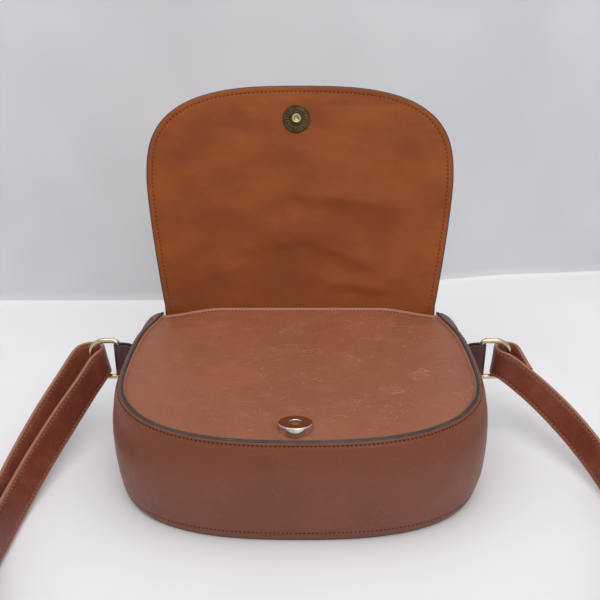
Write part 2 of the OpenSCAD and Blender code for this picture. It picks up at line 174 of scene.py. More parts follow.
def outline_point(share, shape, inset):
    """A point of an outline's right half, moved inwards. The share runs from 0 at the round end."""
    if share < CORNER_SHARE:
        turn = pi / 2 * share / CORNER_SHARE
        x = shape.half_w * max(sin(turn), 0) ** (2 / shape.power)
        y = shape.round_h * max(cos(turn), 0) ** (2 / shape.power)
        nx = (x / shape.half_w) ** (shape.power - 1) / shape.half_w
        ny = -(y / shape.round_h) ** (shape.power - 1) / shape.round_h
        size = hypot(nx, ny)
        return x - inset * nx / size, shape.round_h - y - inset * ny / size
    along = (share - CORNER_SHARE) / (1 - CORNER_SHARE)
    x = shape.half_w - shape.taper * along ** shape.bend
    lean = shape.taper * shape.bend * along ** (shape.bend - 1) / shape.side
    return x - inset * hypot(1, lean), shape.round_h + shape.side * along


def half_shares(corner_steps, side_steps):
    corner = [CORNER_SHARE * i / corner_steps for i in range(corner_steps)]
    side = [CORNER_SHARE + (1 - CORNER_SHARE) * i / side_steps for i in range(side_steps + 1)]
    return corner + side


def places_round(corner_steps, side_steps):
    """Shares and sides all round, from the left end to the right end."""
    shares = half_shares(corner_steps, side_steps)
    return [(share, -1) for share in shares[:0:-1]] + [(share, 1) for share in shares]


def outline_line(shape, inset, steps=(90, 40)):
    points = []
    for share, side in places_round(*steps):
        x, y = outline_point(share, shape, inset)
        points.append((side * x, y))
    return np.array(points)


def front_height(y):
    return BOTTOM_DEPTH + (y - BOTTOM_Y) * tan(SLOPE)


def droop(x, y):
    """How far the front sags towards its two corners at the mouth."""
    return DROOP * ease(abs(x), *DROOP_ACROSS) * ease(y, *DROOP_ALONG)


def front_z(x, y):
    """Height of the front's outer face, with its sag."""
    return front_height(y) - droop(x, y)


def on_front(x, y, out):
    """A point that far out of the front's outer face."""
    return x, y, front_z(x, y) + out / cos(SLOPE)


def bow(share, depth):
    full = BOTTOM_BULGE + (MOUTH_BULGE - BOTTOM_BULGE) * share ** RISE_POWER
    full += MOUTH_FLARE * max(0, (share - FLARE_SHARE) / (1 - FLARE_SHARE)) ** FLARE_POWER
    return full * max(sin(pi * depth), 0) ** BOW_POWER


def wall_top(x, y):
    """Height where the gusset meets the front edge's paint."""
    return on_front(x, y, RIM_H - PAINT_T)[2]


def body_edge(share, side, inset):
    """A place on the body's outline, moved inwards, from above."""
    x, y = outline_point(share, BODY, inset)
    return side * x, y + BOTTOM_Y


def wall_point(share, side, depth, out=0):
    """A point of the gusset's wall, moved outwards. The depth runs from 0 at the back to 1."""
    x, y = body_edge(share, side, -out - bow(share, depth))
    return x, y, PAINT_T + (wall_top(x, y) - PAINT_T) * depth


def side_share(y):
    return CORNER_SHARE + (1 - CORNER_SHARE) * (y - BOTTOM_Y - BODY_ROUND_H) / SIDE_LEN


def flap_place(x, y, z):
    """A point of the flap's own frame: across, from the fold to the tip, and out of the lining."""
    return (x, FOLD_Y + y * cos(FLAP_TURN) - z * sin(FLAP_TURN),
            FOLD_Z + y * sin(FLAP_TURN) + z * cos(FLAP_TURN))


# Numbers and lines

SAME_PLACE = 1e-6


def ease(value, low, high):
    """From 0 below low to 1 above high."""
    t = min(max((value - low) / (high - low), 0), 1)
    return t * t * (3 - 2 * t)


def hill(value, middle, width):
    """A smooth hill of height 1."""
    return exp(-((value - middle) / width) ** 2)


def bump_noise(x, y, z, size):
    """Smooth noise about zero whose bumps have that size."""
    return noise.noise(Vector((x / size, y / size, z / size)))


def waves(x, y, layers):
    """Sum of noises, each given as height, bump size, seed, and how much denser it is across and along."""
    return sum(height * bump_noise(x * dense_x, y * dense_y, seed, size)
               for height, size, seed, dense_x, dense_y in layers)


def line_tangents(points):
    points = np.array(points, float)
    runs = np.empty_like(points)
    runs[1:-1] = points[2:] - points[:-2]
    runs[0] = points[1] - points[0]
    runs[-1] = points[-1] - points[-2]
    return runs / np.linalg.norm(runs, axis=1)[:, None]


def resample(columns, step):
    """Even steps along a line. The first three columns are its points, and others go along."""
    columns = np.array(columns, float)
    runs = np.linalg.norm(np.diff(columns[:, :3], axis=0), axis=1)
    columns = columns[np.concatenate([[True], runs > SAME_PLACE])]
    runs = np.linalg.norm(np.diff(columns[:, :3], axis=0), axis=1)
    along = np.concatenate([[0], np.cumsum(runs)])
    places = np.linspace(0, along[-1], max(2, round(along[-1] / step) + 1))
    return np.stack([np.interp(places, along, column) for column in columns.T], axis=1)


def curve(points, t):
    """Place and slope at a share of the smooth curve that a few points pull on."""
    points = np.array(points, float)
    degree = len(points) - 1
    while len(points) > 2:
        points = (1 - t) * points[:-1] + t * points[1:]
    return (1 - t) * points[0] + t * points[1], degree * (points[1] - points[0])


def smoothed(line, rounds):
    """A line with its kinks eased out."""
    line = np.array(line, float)
    for _ in range(rounds):
        line[1:-1] = (line[:-2] + 2 * line[1:-1] + line[2:]) / 4
    return line


def distances_to_line(points, line):
    """Distance of each point from a line, seen in its plane."""
    points = np.array(points, float)[:, None, :2]
    starts = line[None, :-1]
    runs = np.diff(line, axis=0)[None]
    shares = np.clip(((points - starts) * runs).sum(2) / (runs ** 2).sum(2), 0, 1)
    return np.linalg.norm(points - starts - shares[:, :, None] * runs, axis=2).min(1)


def arc(centre_x, centre_y, radius, start, end, steps=5):
    angles = [radians(start + (end - start) * i / steps) for i in range(steps + 1)]
    return [(centre_x + radius * cos(a), centre_y + radius * sin(a)) for a in angles]


# Meshes

def grid_faces(rows, columns, wrap, start=0):
    """Faces between neighbouring rows. Wrapped rows close on themselves."""
    faces = []
    for low in range(start, start + (rows - 1) * columns, columns):
        for c in range(columns if wrap else columns - 1):
            d = (c + 1) % columns
            faces.append((low + c, low + d, low + columns + d, low + columns + c))
    return faces


def add_object(name, data):
    item = bpy.data.objects.new(name, data)
    bpy.context.scene.collection.objects.link(item)
    return item


def make_piece(name, points, faces, material, hold, nodes=()):
    """A smooth mesh. The hold is the body that it rides on, or a function that is called on the piece."""
    mesh = bpy.data.meshes.new(name)
    mesh.from_pydata((np.array(points, float) * MM).tolist(), [], faces)
    mesh.polygons.foreach_set("use_smooth", [True] * len(mesh.polygons))
    mesh.update()
    mesh.materials.append(material)
    piece = add_object(name, mesh)
    if callable(hold):
        hold(piece)
    else:
        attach(piece, hold)
    if nodes:
        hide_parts(*nodes)
    return piece


def make_grid(name, rows, material, hold, *nodes, wrap=False, caps=False):
    """A surface through rows of points, in place of nodes of the frame. Caps close the ends of a tube."""
    columns = len(rows[0])
    points = [point for row in rows for point in row]
    faces = grid_faces(len(rows), columns, wrap)
    if caps:
        faces.append(tuple(range(columns)))
        faces.append(tuple(range(len(points) - columns, len(points)))[::-1])
    return make_piece(name, points, faces, material, hold, nodes)


def paint_light(piece, shares):
    """Marks how far each point of a piece takes its leather's painted light colour: a painted highlight or
    painted reflection tint.
    """
    layer = piece.data.attributes.new("painted_light", "FLOAT", "POINT")
    layer.data.foreach_set("value", shares)


# Stitches

STITCH_PITCH = 2.25
STITCH_LEN = 1.65
STITCH_R = 0.36
STITCH_SINK = 0.06
STITCH_RINGS = 5
STITCH_SIDES = 6
LEAN_SPREAD = 0.4
LEN_SPREAD = 0.08
LONG_PITCH = 2.8


def make_stitches(name, line, normals, material, hold, slant, pitch=STITCH_PITCH, radius=STITCH_R):
    """A row of short threads along a line on a surface, each turned a little across the line."""
    even = resample(np.concatenate([line, normals], axis=1), pitch)
    tangents = line_tangents(even[:, :3])
    points = []
    faces = []
    for row, tangent in zip(even[1:-1], tangents[1:-1]):
        normal = row[3:6] / np.linalg.norm(row[3:6])
        lean = radians(slant) * (1 + LEAN_SPREAD * random.uniform(-1, 1))
        run = cos(lean) * tangent + sin(lean) * np.cross(normal, tangent)
        side = np.cross(normal, run)
        half = STITCH_LEN / 2 * (1 + LEN_SPREAD * random.uniform(-1, 1))
        start = len(points)
        for i in range(STITCH_RINGS):
            along = -1 + 2 * i / (STITCH_RINGS - 1)
            thick = radius * (1 - 0.75 * abs(along) ** 3)
            rise = radius * (0.5 - 1.6 * along ** 4) - STITCH_SINK
            for across, up in arc(0, 0, thick, 0, 360, STITCH_SIDES)[:-1]:
                points.append(row[:3] + along * half * run + across * side + (rise + up) * normal)
        faces += grid_faces(STITCH_RINGS, STITCH_SIDES, True, start)
        faces.append(tuple(range(start, start + STITCH_SIDES))[::-1])
        last = start + (STITCH_RINGS - 1) * STITCH_SIDES
        faces.append(tuple(range(last, last + STITCH_SIDES)))
    return make_piece(name, points, faces, material, hold)


# Nodes of the materials

def new_material(name):
    material = bpy.data.materials.new(name)
    material.use_nodes = True
    return material, material.node_tree


def feed(tree, sockets, values):
    """Links each named socket, or sets its plain value."""
    for name, value in values.items():
        if isinstance(value, bpy.types.NodeSocket):
            tree.links.new(value, sockets[name])
        elif sockets[name].type == "RGBA":
            sockets[name].default_value = (*value, 1)
        else:
            sockets[name].default_value = value


def node(tree, kind, values, **settings):
    """A new node with its settings and the values of its inputs."""
    item = tree.nodes.new("ShaderNode" + kind)
    for name, value in settings.items():
        setattr(item, name, value)
    feed(tree, item.inputs, values)
    return item.outputs


def dress(material, base, roughness, bump, others):
    """Sets a material's colour, roughness and bump, and other values of its shader."""
    values = {"Base Color": base, "Roughness": roughness, "Normal": bump, **others}
    feed(material.node_tree, material.node_tree.nodes["Principled BSDF"].inputs, values)
    return material


def math_of(tree, operation, a, b=0.0):
    return node(tree, "Math", {0: a, 1: b}, operation=operation)[0]


def spread(tree, value, low, high, to_low=0.0, to_high=1.0):
    """Maps a range of values onto another, held at its ends."""
    values = {"Value": value, "From Min": low, "From Max": high, "To Min": to_low, "To Max": to_high}
    return node(tree, "MapRange", values, interpolation_type="SMOOTHSTEP")["Result"]


def mixed(tree, share, a, b):
    """Colour a changed to b by that share. Sockets 6, 7 and 2 are the mix node's colours."""
    return node(tree, "Mix", {0: share, 6: a, 7: b}, data_type="RGBA")[2]


def tinted(tree, base, colour, value, low, high, most=1.0):
    """Mixes a colour in where the value is high, at most by that share."""
    return mixed(tree, spread(tree, value, low, high, 0, most), base, colour)


def place_of(tree, turn=0, stretch=(1, 1, 1)):
    """Places on the object, turned about the vertical and stretched."""
    coords = node(tree, "TexCoord", {})["Object"]
    return node(tree, "Mapping", {"Vector": coords, "Rotation": (0, 0, radians(turn)), "Scale": stretch})[0]


def cloud(tree, place, size, detail, roughness=0.55, distortion=0.0):
    """Noise whose bumps are about that many millimetres across."""
    return node(tree, "TexNoise", {"Vector": place, "Scale": 1 / (size * MM), "Detail": detail,
                                   "Roughness": roughness, "Distortion": distortion})[0]


def cells(tree, place, size):
    """Rounded cells about that many millimetres across."""
    return node(tree, "TexVoronoi", {"Vector": place, "Scale": 1 / (size * MM)})["Distance"]


def raise_by(tree, height, distance, before=None):
    """A bump of that many millimetres, on top of another."""
    values = {"Strength": 1, "Distance": distance * MM, "Height": height}
    if before:
        values["Normal"] = before
    return node(tree, "Bump", values)[0]


# Kinds of material

# Turn, stretch, size and width of each run of creases, and the cover and size of its patches
CREASE_RUNS = [(32, (1, 2.4, 1), 16, 0.007, 0.44, 38), (-24, (1, 2.2, 1.4), 12, 0.008, 0.47, 30),
               (12, (1, 2.2, 1.4), 8, 0.008, 0.49, 30)]


def crease_lines(tree, place, left_share):
    """Fine broken lines where noise crosses its middle, inside patches of a larger noise."""
    lines = 0.0
    for turn, stretch, size, width, cover, patch in CREASE_RUNS:
        turned = place_of(tree, turn, stretch)
        off_middle = math_of(tree, "SUBTRACT", cloud(tree, turned, size, 1.5, 0.5, 0.6), 0.5)
        line = spread(tree, math_of(tree, "ABSOLUTE", off_middle), 0, width, 1, 0)
        inside = spread(tree, cloud(tree, turned, patch, 2), cover, cover + 0.1)
        lines = math_of(tree, "MAXIMUM", lines, math_of(tree, "MULTIPLY", line, inside))
    across = node(tree, "SeparateXYZ", {0: place})["X"]
    return math_of(tree, "MULTIPLY", lines, spread(tree, across, -0.08, 0.01, left_share, 1))


def leather(name, dark, middle, light, line, crease_share, rough=0.42, grain=0.05, painted_light=None,
            left_creases=1.0):
    """Smooth finished leather: mottled colour, fine pores, pale creases and uneven shine, with painted light
    mixed in where a piece marks it.
    """
    material, tree = new_material(name)
    place = place_of(tree)
    patch = cloud(tree, place, 13, 5, 0.6)
    fine = cloud(tree, place, 1.6, 4, 0.65)
    base = tinted(tree, dark, middle, cloud(tree, place, 46, 4), 0.34, 0.66)
    base = tinted(tree, base, light, patch, 0.48, 0.72, 0.5)
    base = tinted(tree, base, dark, fine, 0.3, 0.7, 0.16)
    # Painted light: where the piece's point attribute is set, the colour is mixed towards a paler or warmer
    # one, in place of highlight or reflection.
    if painted_light:
        base = mixed(tree, node(tree, "Attribute", {}, attribute_name="painted_light")["Fac"], base, painted_light)
    lines = crease_lines(tree, place, left_creases)
    base = mixed(tree, math_of(tree, "MULTIPLY", lines, crease_share), base, line)
    shine = math_of(tree, "ADD", spread(tree, patch, 0.3, 0.7, rough - 0.05, rough + 0.07),
                    spread(tree, fine, 0.3, 0.7, -0.04, 0.05))
    bump = raise_by(tree, fine, grain)
    bump = raise_by(tree, cells(tree, place, 0.7), grain, bump)
    bump = raise_by(tree, math_of(tree, "MULTIPLY", lines, -1), 0.06, bump)
    bump = raise_by(tree, patch, 0.25, bump)
    return dress(material, base, shine, bump, {"Coat Weight": 0.05, "Coat Roughness": 0.3, "IOR": 1.45})


def satin(name, dark, light):
    """Thin lining cloth with a fine weave, painted fold shade in its colour, and a dull shine."""
    material, tree = new_material(name)
    # Painted shade: broad noise darkens the colour in soft bands, for the shade that folds cast
    folds = cloud(tree, place_of(tree, 0, (0.7, 1, 1.3)), 34, 3)
    slub = cloud(tree, place_of(tree, 0, (0.2, 1, 1)), 0.9, 3)
    weave = cloud(tree, place_of(tree, 0, (1, 0.25, 0.25)), 0.4, 2)
    base = tinted(tree, tinted(tree, dark, light, folds, 0.3, 0.7), dark, slub, 0.4, 0.75, 0.18)
    bump = raise_by(tree, weave, 0.008, raise_by(tree, slub, 0.008))
    shine = spread(tree, slub, 0.3, 0.7, 0.52, 0.62)
    return dress(material, base, shine, bump, {"Specular IOR Level": 0.22})


def painted_edge(name, dark, light):
    """Flexible paint brushed on cut leather: slightly lumpy, satin, worn pale in places."""
    material, tree = new_material(name)
    place = place_of(tree)
    lumps = cloud(tree, place, 3, 4)
    base = tinted(tree, dark, light, cloud(tree, place, 11, 5, 0.7), 0.4, 0.68)
    bump = raise_by(tree, cloud(tree, place, 0.8, 2), 0.03, raise_by(tree, lumps, 0.12))
    return dress(material, base, spread(tree, lumps, 0.3, 0.7, 0.3, 0.48), bump, {})


def polished(name, base, dull, rough, scratch=0.03):
    """Plated metal with fine scratches and smudges."""
    material, tree = new_material(name)
    smudge = cloud(tree, place_of(tree), 5, 4)
    scratches = cloud(tree, place_of(tree, 25, (8, 0.6, 0.6)), 1.2, 3)
    shine = spread(tree, smudge, 0.3, 0.7, rough, rough + 0.12)
    bump = raise_by(tree, scratches, scratch)
    return dress(material, tinted(tree, base, dull, smudge, 0.4, 0.7, 0.6), shine, bump, {"Metallic": 1})


def thread(name, dark, light):
    """Twisted thread with light catching its strands."""
    material, tree = new_material(name)
    strands = cloud(tree, place_of(tree, 40, (1, 4, 1)), 0.5, 2)
    shine = spread(tree, cloud(tree, place_of(tree), 4, 2), 0.3, 0.7, 0.6, 0.75)
    base = tinted(tree, dark, light, strands, 0.35, 0.65)
    return dress(material, base, shine, raise_by(tree, strands, 0.05), {"Specular IOR Level": 0.25})


def board_stuff(name, dark, light):
    """Grey-brown stiffening board with short fibres."""
    material, tree = new_material(name)
    fibres = cloud(tree, place_of(tree, 15, (1, 5, 1)), 2, 5)
    base = tinted(tree, dark, light, fibres, 0.3, 0.7)
    shine = spread(tree, fibres, 0.3, 0.7, 0.75, 0.9)
    return dress(material, base, shine, raise_by(tree, fibres, 0.1), {})


def pale_cloth(name, dark, light):
    """Pale matt cloth with a fine nap and faint clouds."""
    material, tree = new_material(name)
    bump = raise_by(tree, cloud(tree, place_of(tree), 2.5, 4), 0.02)
    base = tinted(tree, dark, light, cloud(tree, place_of(tree), 160, 2), 0.3, 0.7)
    return dress(material, base, 0.8, bump, {"Specular IOR Level": 0.2})


# Materials

# The body leather's last colour, a pale pink, is a painted highlight on the front's hem and along its rim.
BODY_LEATHER = leather("body_leather", (0.263, 0.081, 0.036), (0.295, 0.092, 0.041), (0.33, 0.113, 0.055),
                       (0.48, 0.22, 0.135), crease_share=0.7, painted_light=(0.4, 0.19, 0.14), left_creases=0.35)
# The gusset's leather is a darker copy of the body leather, painted shade for its upright sides, which get
# less light; its last colour is a painted reflection tint, warmer towards the front edge.
SHADED_WALL_LEATHER = leather("shaded_wall_leather", (0.178, 0.049, 0.024), (0.204, 0.058, 0.029), (0.23, 0.073, 0.04),
                       (0.36, 0.15, 0.09), crease_share=0.15, painted_light=(0.19, 0.046, 0.014))
# The strap leather's last colour is a painted highlight along the strap's folded edges.
STRAP_LEATHER = leather("strap_leather", (0.155, 0.034, 0.018), (0.203, 0.049, 0.024), (0.27, 0.08, 0.042),
                        (0.36, 0.14, 0.08), crease_share=0.35, rough=0.38, grain=0.06,
                        painted_light=(0.34, 0.135, 0.08))
TAB_LEATHER = leather("tab_leather", (0.05, 0.014, 0.014), (0.085, 0.024, 0.022), (0.14, 0.05, 0.045),
                      (0.2, 0.1, 0.09), crease_share=0.2, rough=0.4)
# The lining's darker colour is laid in broad bands of painted fold shade, and a little in its slubs.
LINING = satin("lining", (0.21, 0.048, 0.008), (0.285, 0.073, 0.012))
EDGE_PAINT = painted_edge("edge_paint", (0.024, 0.019, 0.02), (0.06, 0.047, 0.049))
TAB_PAINT = painted_edge("tab_paint", (0.012, 0.011, 0.012), (0.04, 0.036, 0.038))
SEAM_THREAD = thread("seam_thread", (0.012, 0.004, 0.003), (0.045, 0.014, 0.009))
LINING_THREAD = thread("lining_thread", (0.07, 0.011, 0.003), (0.15, 0.026, 0.006))
HEM_THREAD = thread("hem_thread", (0.05, 0.016, 0.01), (0.13, 0.045, 0.028))
STRAP_THREAD = thread("strap_thread", (0.3, 0.12, 0.06), (0.48, 0.22, 0.12))
SOCKET_METAL = polished("socket_metal", (0.74, 0.69, 0.61), (0.5, 0.44, 0.37), rough=0.08)
RING_METAL = polished("ring_metal", (0.7, 0.6, 0.41), (0.45, 0.37, 0.23), rough=0.13)
SLIDER_METAL = polished("slider_metal", (0.7, 0.6, 0.41), (0.45, 0.37, 0.23), rough=0.2)
STEEL = polished("washer_steel", (0.5, 0.5, 0.5), (0.3, 0.3, 0.3), rough=0.4)
MAGNET = polished("magnet_black", (0.06, 0.06, 0.06), (0.03, 0.03, 0.03), rough=0.5)
PLATE_METAL = polished("plate_metal", (0.085, 0.058, 0.027), (0.03, 0.02, 0.011), rough=0.24, scratch=0.06)
STUD_METAL = polished("stud_metal", (0.5, 0.41, 0.25), (0.26, 0.2, 0.11), rough=0.22)
BOARD = board_stuff("board", (0.3, 0.25, 0.18), (0.45, 0.38, 0.28))
TABLE_CLOTH = pale_cloth("white_cloth", (0.85, 0.845, 0.855), (0.885, 0.88, 0.89))
# The backdrop's upright part is the table's white cloth painted grey: painted shade for the light it misses.
SHADED_WALL_CLOTH = pale_cloth("shaded_grey_wall", (0.62, 0.62, 0.64), (0.68, 0.68, 0.7))


# Sheets of leather and lining

SIDES = ((-1, "left"), (1, "right"))
SHEET_COLUMNS = 150
SHEET_CORNER_STEPS = 54
SHEET_SIDE_STEPS = 56


def side_places(half, count):
    """Places from one side to the other, closer together near the sides."""
    shares = [-1 + 2 * i / count for i in range(count + 1)]
    return [half * (0.62 * sin(share * pi / 2) + 0.38 * share) for share in shares]


def outline_rows(shape, inset, columns=SHEET_COLUMNS):
    """Rows of flat places inside an outline, from its round end to its straight end."""
    rows = []
    for share in half_shares(SHEET_CORNER_STEPS, SHEET_SIDE_STEPS):
        x, y = outline_point(share, shape, inset)
        rows.append([(px, y) for px in side_places(x, columns)])
    return rows


def body_rows(inset, columns=SHEET_COLUMNS, short=0):
    """Rows of places inside the body's outline that end short of the mouth."""
    rows = [[(x, y + BOTTOM_Y) for x, y in row] for row in outline_rows(BODY, inset, columns)]
    return [row for row in rows if row[0][1] <= MOUTH_Y - short]


# Front panel: flat leather that turns up at the rim and is hemmed at the mouth

RIM_INSET = 1.9
RIM_RISE = 1.7
# Share of painted highlight on the leather that turns up at the rim
RIM_HIGHLIGHT = 0.8
HEM_START = 1.2
HEM_STITCH = 4.4
HEM_PAD = 0.5
HEM_GROOVE = 0.22
HEM_GROOVE_W = 0.55
HEM_GATHER = 0.35
FILLET_W = 2.2
PANEL_WAVES = [(0.35, 52, 3, 1, 1), (0.16, 17, 9, 1, 1.6), (0.05, 6, 21, 1.3, 2.1)]

# The hem's turn to the inside: places past the mouth, and out of the front's face
HEM_TURN = [(-0.8, -0.02), (-0.4, -0.16), (-0.08, -0.42), (0.16, -0.8), (0.27, -1.25), (0.28, -1.8),
            (0.2, -2.3), (0, -2.8), (-0.4, -3.08), (-2, -3.12), (-9, -3.12)]


def hem_relief(along_x, from_edge):
    """A padded hem with a stitched groove, gathered a little at each stitch."""
    pad = HEM_PAD * (1 - ease(from_edge, HEM_STITCH - 1.6, HEM_STITCH + 0.4))
    gather = 1 + HEM_GATHER * cos(2 * pi * along_x / STITCH_PITCH)
    return pad - HEM_GROOVE * hill(from_edge, HEM_STITCH, HEM_GROOVE_W) * gather


def panel_point(x, y, from_rim):
    fillet = RIM_RISE * (1 - ease(from_rim, 0, FILLET_W)) ** 2
    from_mouth = MOUTH_Y - y
    inner = ease(from_rim, 1, 12) * ease(from_mouth, 2, 14)
    relief = inner * (0.2 + waves(x, y, PANEL_WAVES))
    return on_front(x, y, fillet + relief + hem_relief(x, from_mouth) * ease(from_rim, 0, 2))


def front_panel():
    rows = body_rows(RIM_INSET, short=HEM_START)
    places = [place for row in rows for place in row]
    aways = distances_to_line(places, outline_line(BODY, RIM_INSET) + (0, BOTTOM_Y))
    away = iter(aways)
    points = [[panel_point(x, y, next(away)) for x, y in row] for row in rows]
    mouth_x = outline_point(1, BODY, RIM_INSET)[0]
    for past, out in HEM_TURN:
        turned = ease(out, -1.8, -0.1)
        points.append([on_front(x, MOUTH_Y + past, out + hem_relief(x, 0) * turned + 0.05)
                       for x in side_places(mouth_x, SHEET_COLUMNS)])
    piece = make_grid("front_leather", points, BODY_LEATHER, "root", "front_panel")
    # Painted highlight: the hem's rounded top and the leather turning up at the rim are painted pale, as if
    # catching the light.
    painted_light = [1 - ease(MOUTH_Y - y, HEM_STITCH - 1.5, HEM_STITCH - 0.6) for row in points for _, y, _ in row]
    for i, from_rim in enumerate(aways):
        painted_light[i] = max(painted_light[i], RIM_HIGHLIGHT * (1 - ease(from_rim, 0.3, 1.4)))
    paint_light(piece, painted_light)
    y = MOUTH_Y - HEM_STITCH
    line = [(x, y, front_z(x, y) + 0.15) for x in np.linspace(-mouth_x + 2, mouth_x - 2, 60)]
    up = (0, -sin(SLOPE), cos(SLOPE))
    make_stitches("hem_stitches", line, [up] * len(line), HEM_THREAD, "root", slant=6, radius=0.26)


# Front edge: the painted top of the rim

# Places inwards from the outline, and out of the front's face
RIM_PROFILE = [(2, 1.2), (2, 1.7), (1.96, 2.1), (1.8, 2.38), (1.5, 2.5), (1.15, 2.5),
               (1.05, 2.36), (0.95, 2.5), (0.6, 2.52), (0.3, 2.42), (0.06, 2.15), (0, 1.7), (0.1, 1.2)]
RIM_WAVES = [(0.12, 9, 5, 1, 1), (0.05, 2.5, 8, 1, 1)]
EDGE_STEPS = (110, 60)


def front_edge():
    rows = []
    for share, side in places_round(*EDGE_STEPS):
        x, y = body_edge(share, side, 0)
        wave = waves(x, y - BOTTOM_Y, RIM_WAVES)
        row = []
        for inset, height in RIM_PROFILE:
            lift = height + (wave if height > 2 else 0)
            row.append(on_front(*body_edge(share, side, inset + 0.6 * wave), lift))
        rows.append(row)
    make_grid("front_edge", rows, EDGE_PAINT, "root", "front_edge_paint", caps=True)


# Gusset

WALL_ROWS = 40
WALL_STEPS = (90, 60)
FRONT_STITCH = 1.9
BACK_STITCH = 5.6
# Depth shares over which the gusset's colour is painted warmer towards the front edge, a painted reflection
# change that leaves its lower part greyer
WARM_SHARES = (0.6, 1)
FRONT_VALLEY = 0.4
BACK_VALLEY = 0.45

# Places out of the gusset's face, and past the mouth
END_PROFILE = [(0.02, -1.5), (0.06, -0.2), (-0.15, 0.2), (-0.6, 0.35), (-1.4, 0.35), (-1.85, 0.2),
               (-2.05, -0.2), (-2.1, -1.5)]

# Depth shares of the wall's rows, closer together near the two seams
WALL_SHARES = [(1 - cos(pi * i / WALL_ROWS)) / 2 for i in range(WALL_ROWS + 1)]


def wall_relief(share, side, depth):
    """Valleys along the two seams, and soft dents between them."""
    x, y, z = wall_point(share, side, depth)
    below = front_z(x, y) + RIM_H - z
    valley = -FRONT_VALLEY * hill(below, FRONT_STITCH, 0.7) - BACK_VALLEY * hill(z, BACK_STITCH, 0.8)
    inner = ease(below, 4, 14) * ease(z, 5, 14)
    return valley + inner * (0.7 * bump_noise(x, y, z, 42) + 0.28 * bump_noise(x, y, z * 1.4, 16))


def wall_face(share, side, depth, out=0):
    """A point out of the gusset's dented face."""
    return wall_point(share, side, depth, wall_relief(share, side, depth) + out)


def gusset():
    rows = [[wall_face(share, side, depth) for share, side in places_round(*WALL_STEPS)]
            for depth in WALL_SHARES]
    piece = make_grid("gusset_leather", rows, SHADED_WALL_LEATHER, "root", "gusset")
    # Painted reflection: the gusset is painted warmer towards the front edge and greyer lower down, where
    # the table would reflect.
    paint_light(piece, [ease(depth, *WARM_SHARES) for depth in WALL_SHARES for _ in rows[0]])
    for side, name in SIDES:
        gusset_end(side, name)
    wall_stitches("front_seam_stitches", lambda x, y: front_z(x, y) + RIM_H - FRONT_STITCH, -14)
    wall_stitches("back_seam_stitches", lambda x, y: BACK_STITCH, 8)


def gusset_end(side, name):
    """The painted end edge of the gusset at the mouth."""
    rows = []
    for depth in WALL_SHARES:
        row = [(wall_face(1, side, depth, out), past) for out, past in END_PROFILE]
        rows.append([(x, y + past, z) for (x, y, z), past in row])
    make_grid(f"{name}_gusset_end", rows, EDGE_PAINT, "root", caps=True)


def wall_stitches(name, height_at, slant):
    """Stitches round the gusset at a height that may follow the front's slope."""
    line = []
    normals = []
    for share, side in places_round(*EDGE_STEPS)[3:-3]:
        x, y = body_edge(share, side, 0)
        depth = (height_at(x, y) - PAINT_T) / (wall_top(x, y) - PAINT_T)
        line.append(wall_face(share, side, depth, 0.02))
        outer = np.array(wall_point(share, side, depth, 1))
        normals.append(outer - wall_point(share, side, depth))
    make_stitches(name, line, normals, SEAM_THREAD, "root", slant)


# Back panel, back edge and front board

# Places inwards from the outline, and up
BACK_EDGE_PROFILE = [(2.2, 0.06), (1, 0.03), (0.3, 0.05), (-0.15, 0.2), (-0.25, 0.5), (-0.1, 0.8),
                     (0.4, 0.9)]
BACK_REACH = 9
BOARD_INSET = 4
BOARD_SHORT = 4


def back_panel():
    rows = [[(x, y, 0.08 + 0.05 * abs(bump_noise(x, y, 1, 14))) for x, y in row]
            for row in body_rows(1, 90, BACK_REACH)]
    make_grid("back_leather", rows, BODY_LEATHER, "root", "back_panel")
    rows = [[(*body_edge(share, side, inset), height) for inset, height in BACK_EDGE_PROFILE]
            for share, side in places_round(*EDGE_STEPS)]
    make_grid("back_edge", rows, EDGE_PAINT, "root", "back_edge_paint", caps=True)


def front_board():
    """The board behind the front leather, which sags with it."""
    loops = []
    for row in body_rows(BOARD_INSET, 60, BOARD_SHORT):
        top = [(x, y, front_z(x, y) - LEATHER_T - 0.02) for x, y in row]
        loops.append(top + [(x, y, z - BOARD_T) for x, y, z in reversed(top)])
    make_grid("front_board_sheet", loops, BOARD, "root", "front_board", wrap=True, caps=True)


# Linings of the body

LINING_INSET = LEATHER_T + LINING_T
LINING_COLUMNS = 80
LINING_ROWS = 24


def lining_wave(x, y, z):
    return 0.5 * abs(bump_noise(x, y * 1.5, z, 24)) + 0.15 * abs(bump_noise(x, y, z, 7))


def panel_wave(x, y, seed, flat, full):
    """Waves of a panel's lining that die out towards the mouth."""
    return lining_wave(x, y - BOTTOM_Y, seed) * ease(MOUTH_Y - y, flat, full)


def body_linings():
    rows = [[(x, y, LAYERS_T + 0.02 + panel_wave(x, y, 0, 0, 10)) for x, y in row]
            for row in body_rows(LINING_INSET, LINING_COLUMNS)]
    make_grid("back_lining_cloth", rows, LINING, "root", "back_lining")
    rows = [[(x, y, front_z(x, y) - LAYERS_T - 0.04 - panel_wave(x, y, 50, 3, 12)) for x, y in row]
            for row in body_rows(LINING_INSET, LINING_COLUMNS, 2)]
    make_grid("front_lining_cloth", rows, LINING, "root", "front_lining")
    rows = []
    for i in range(LINING_ROWS + 1):
        row = []
        for share, side in places_round(60, 40):
            wave = lining_wave(share * 200, side, i * 3) * ease(1 - share, 0, 0.06)
            row.append(wall_point(share, side, 0.02 + 0.95 * i / LINING_ROWS, -LINING_INSET - 0.05 - wave))
        rows.append(row)
    make_grid("gusset_lining_cloth", rows, LINING, "root", "gusset_lining")


# Lid and flap

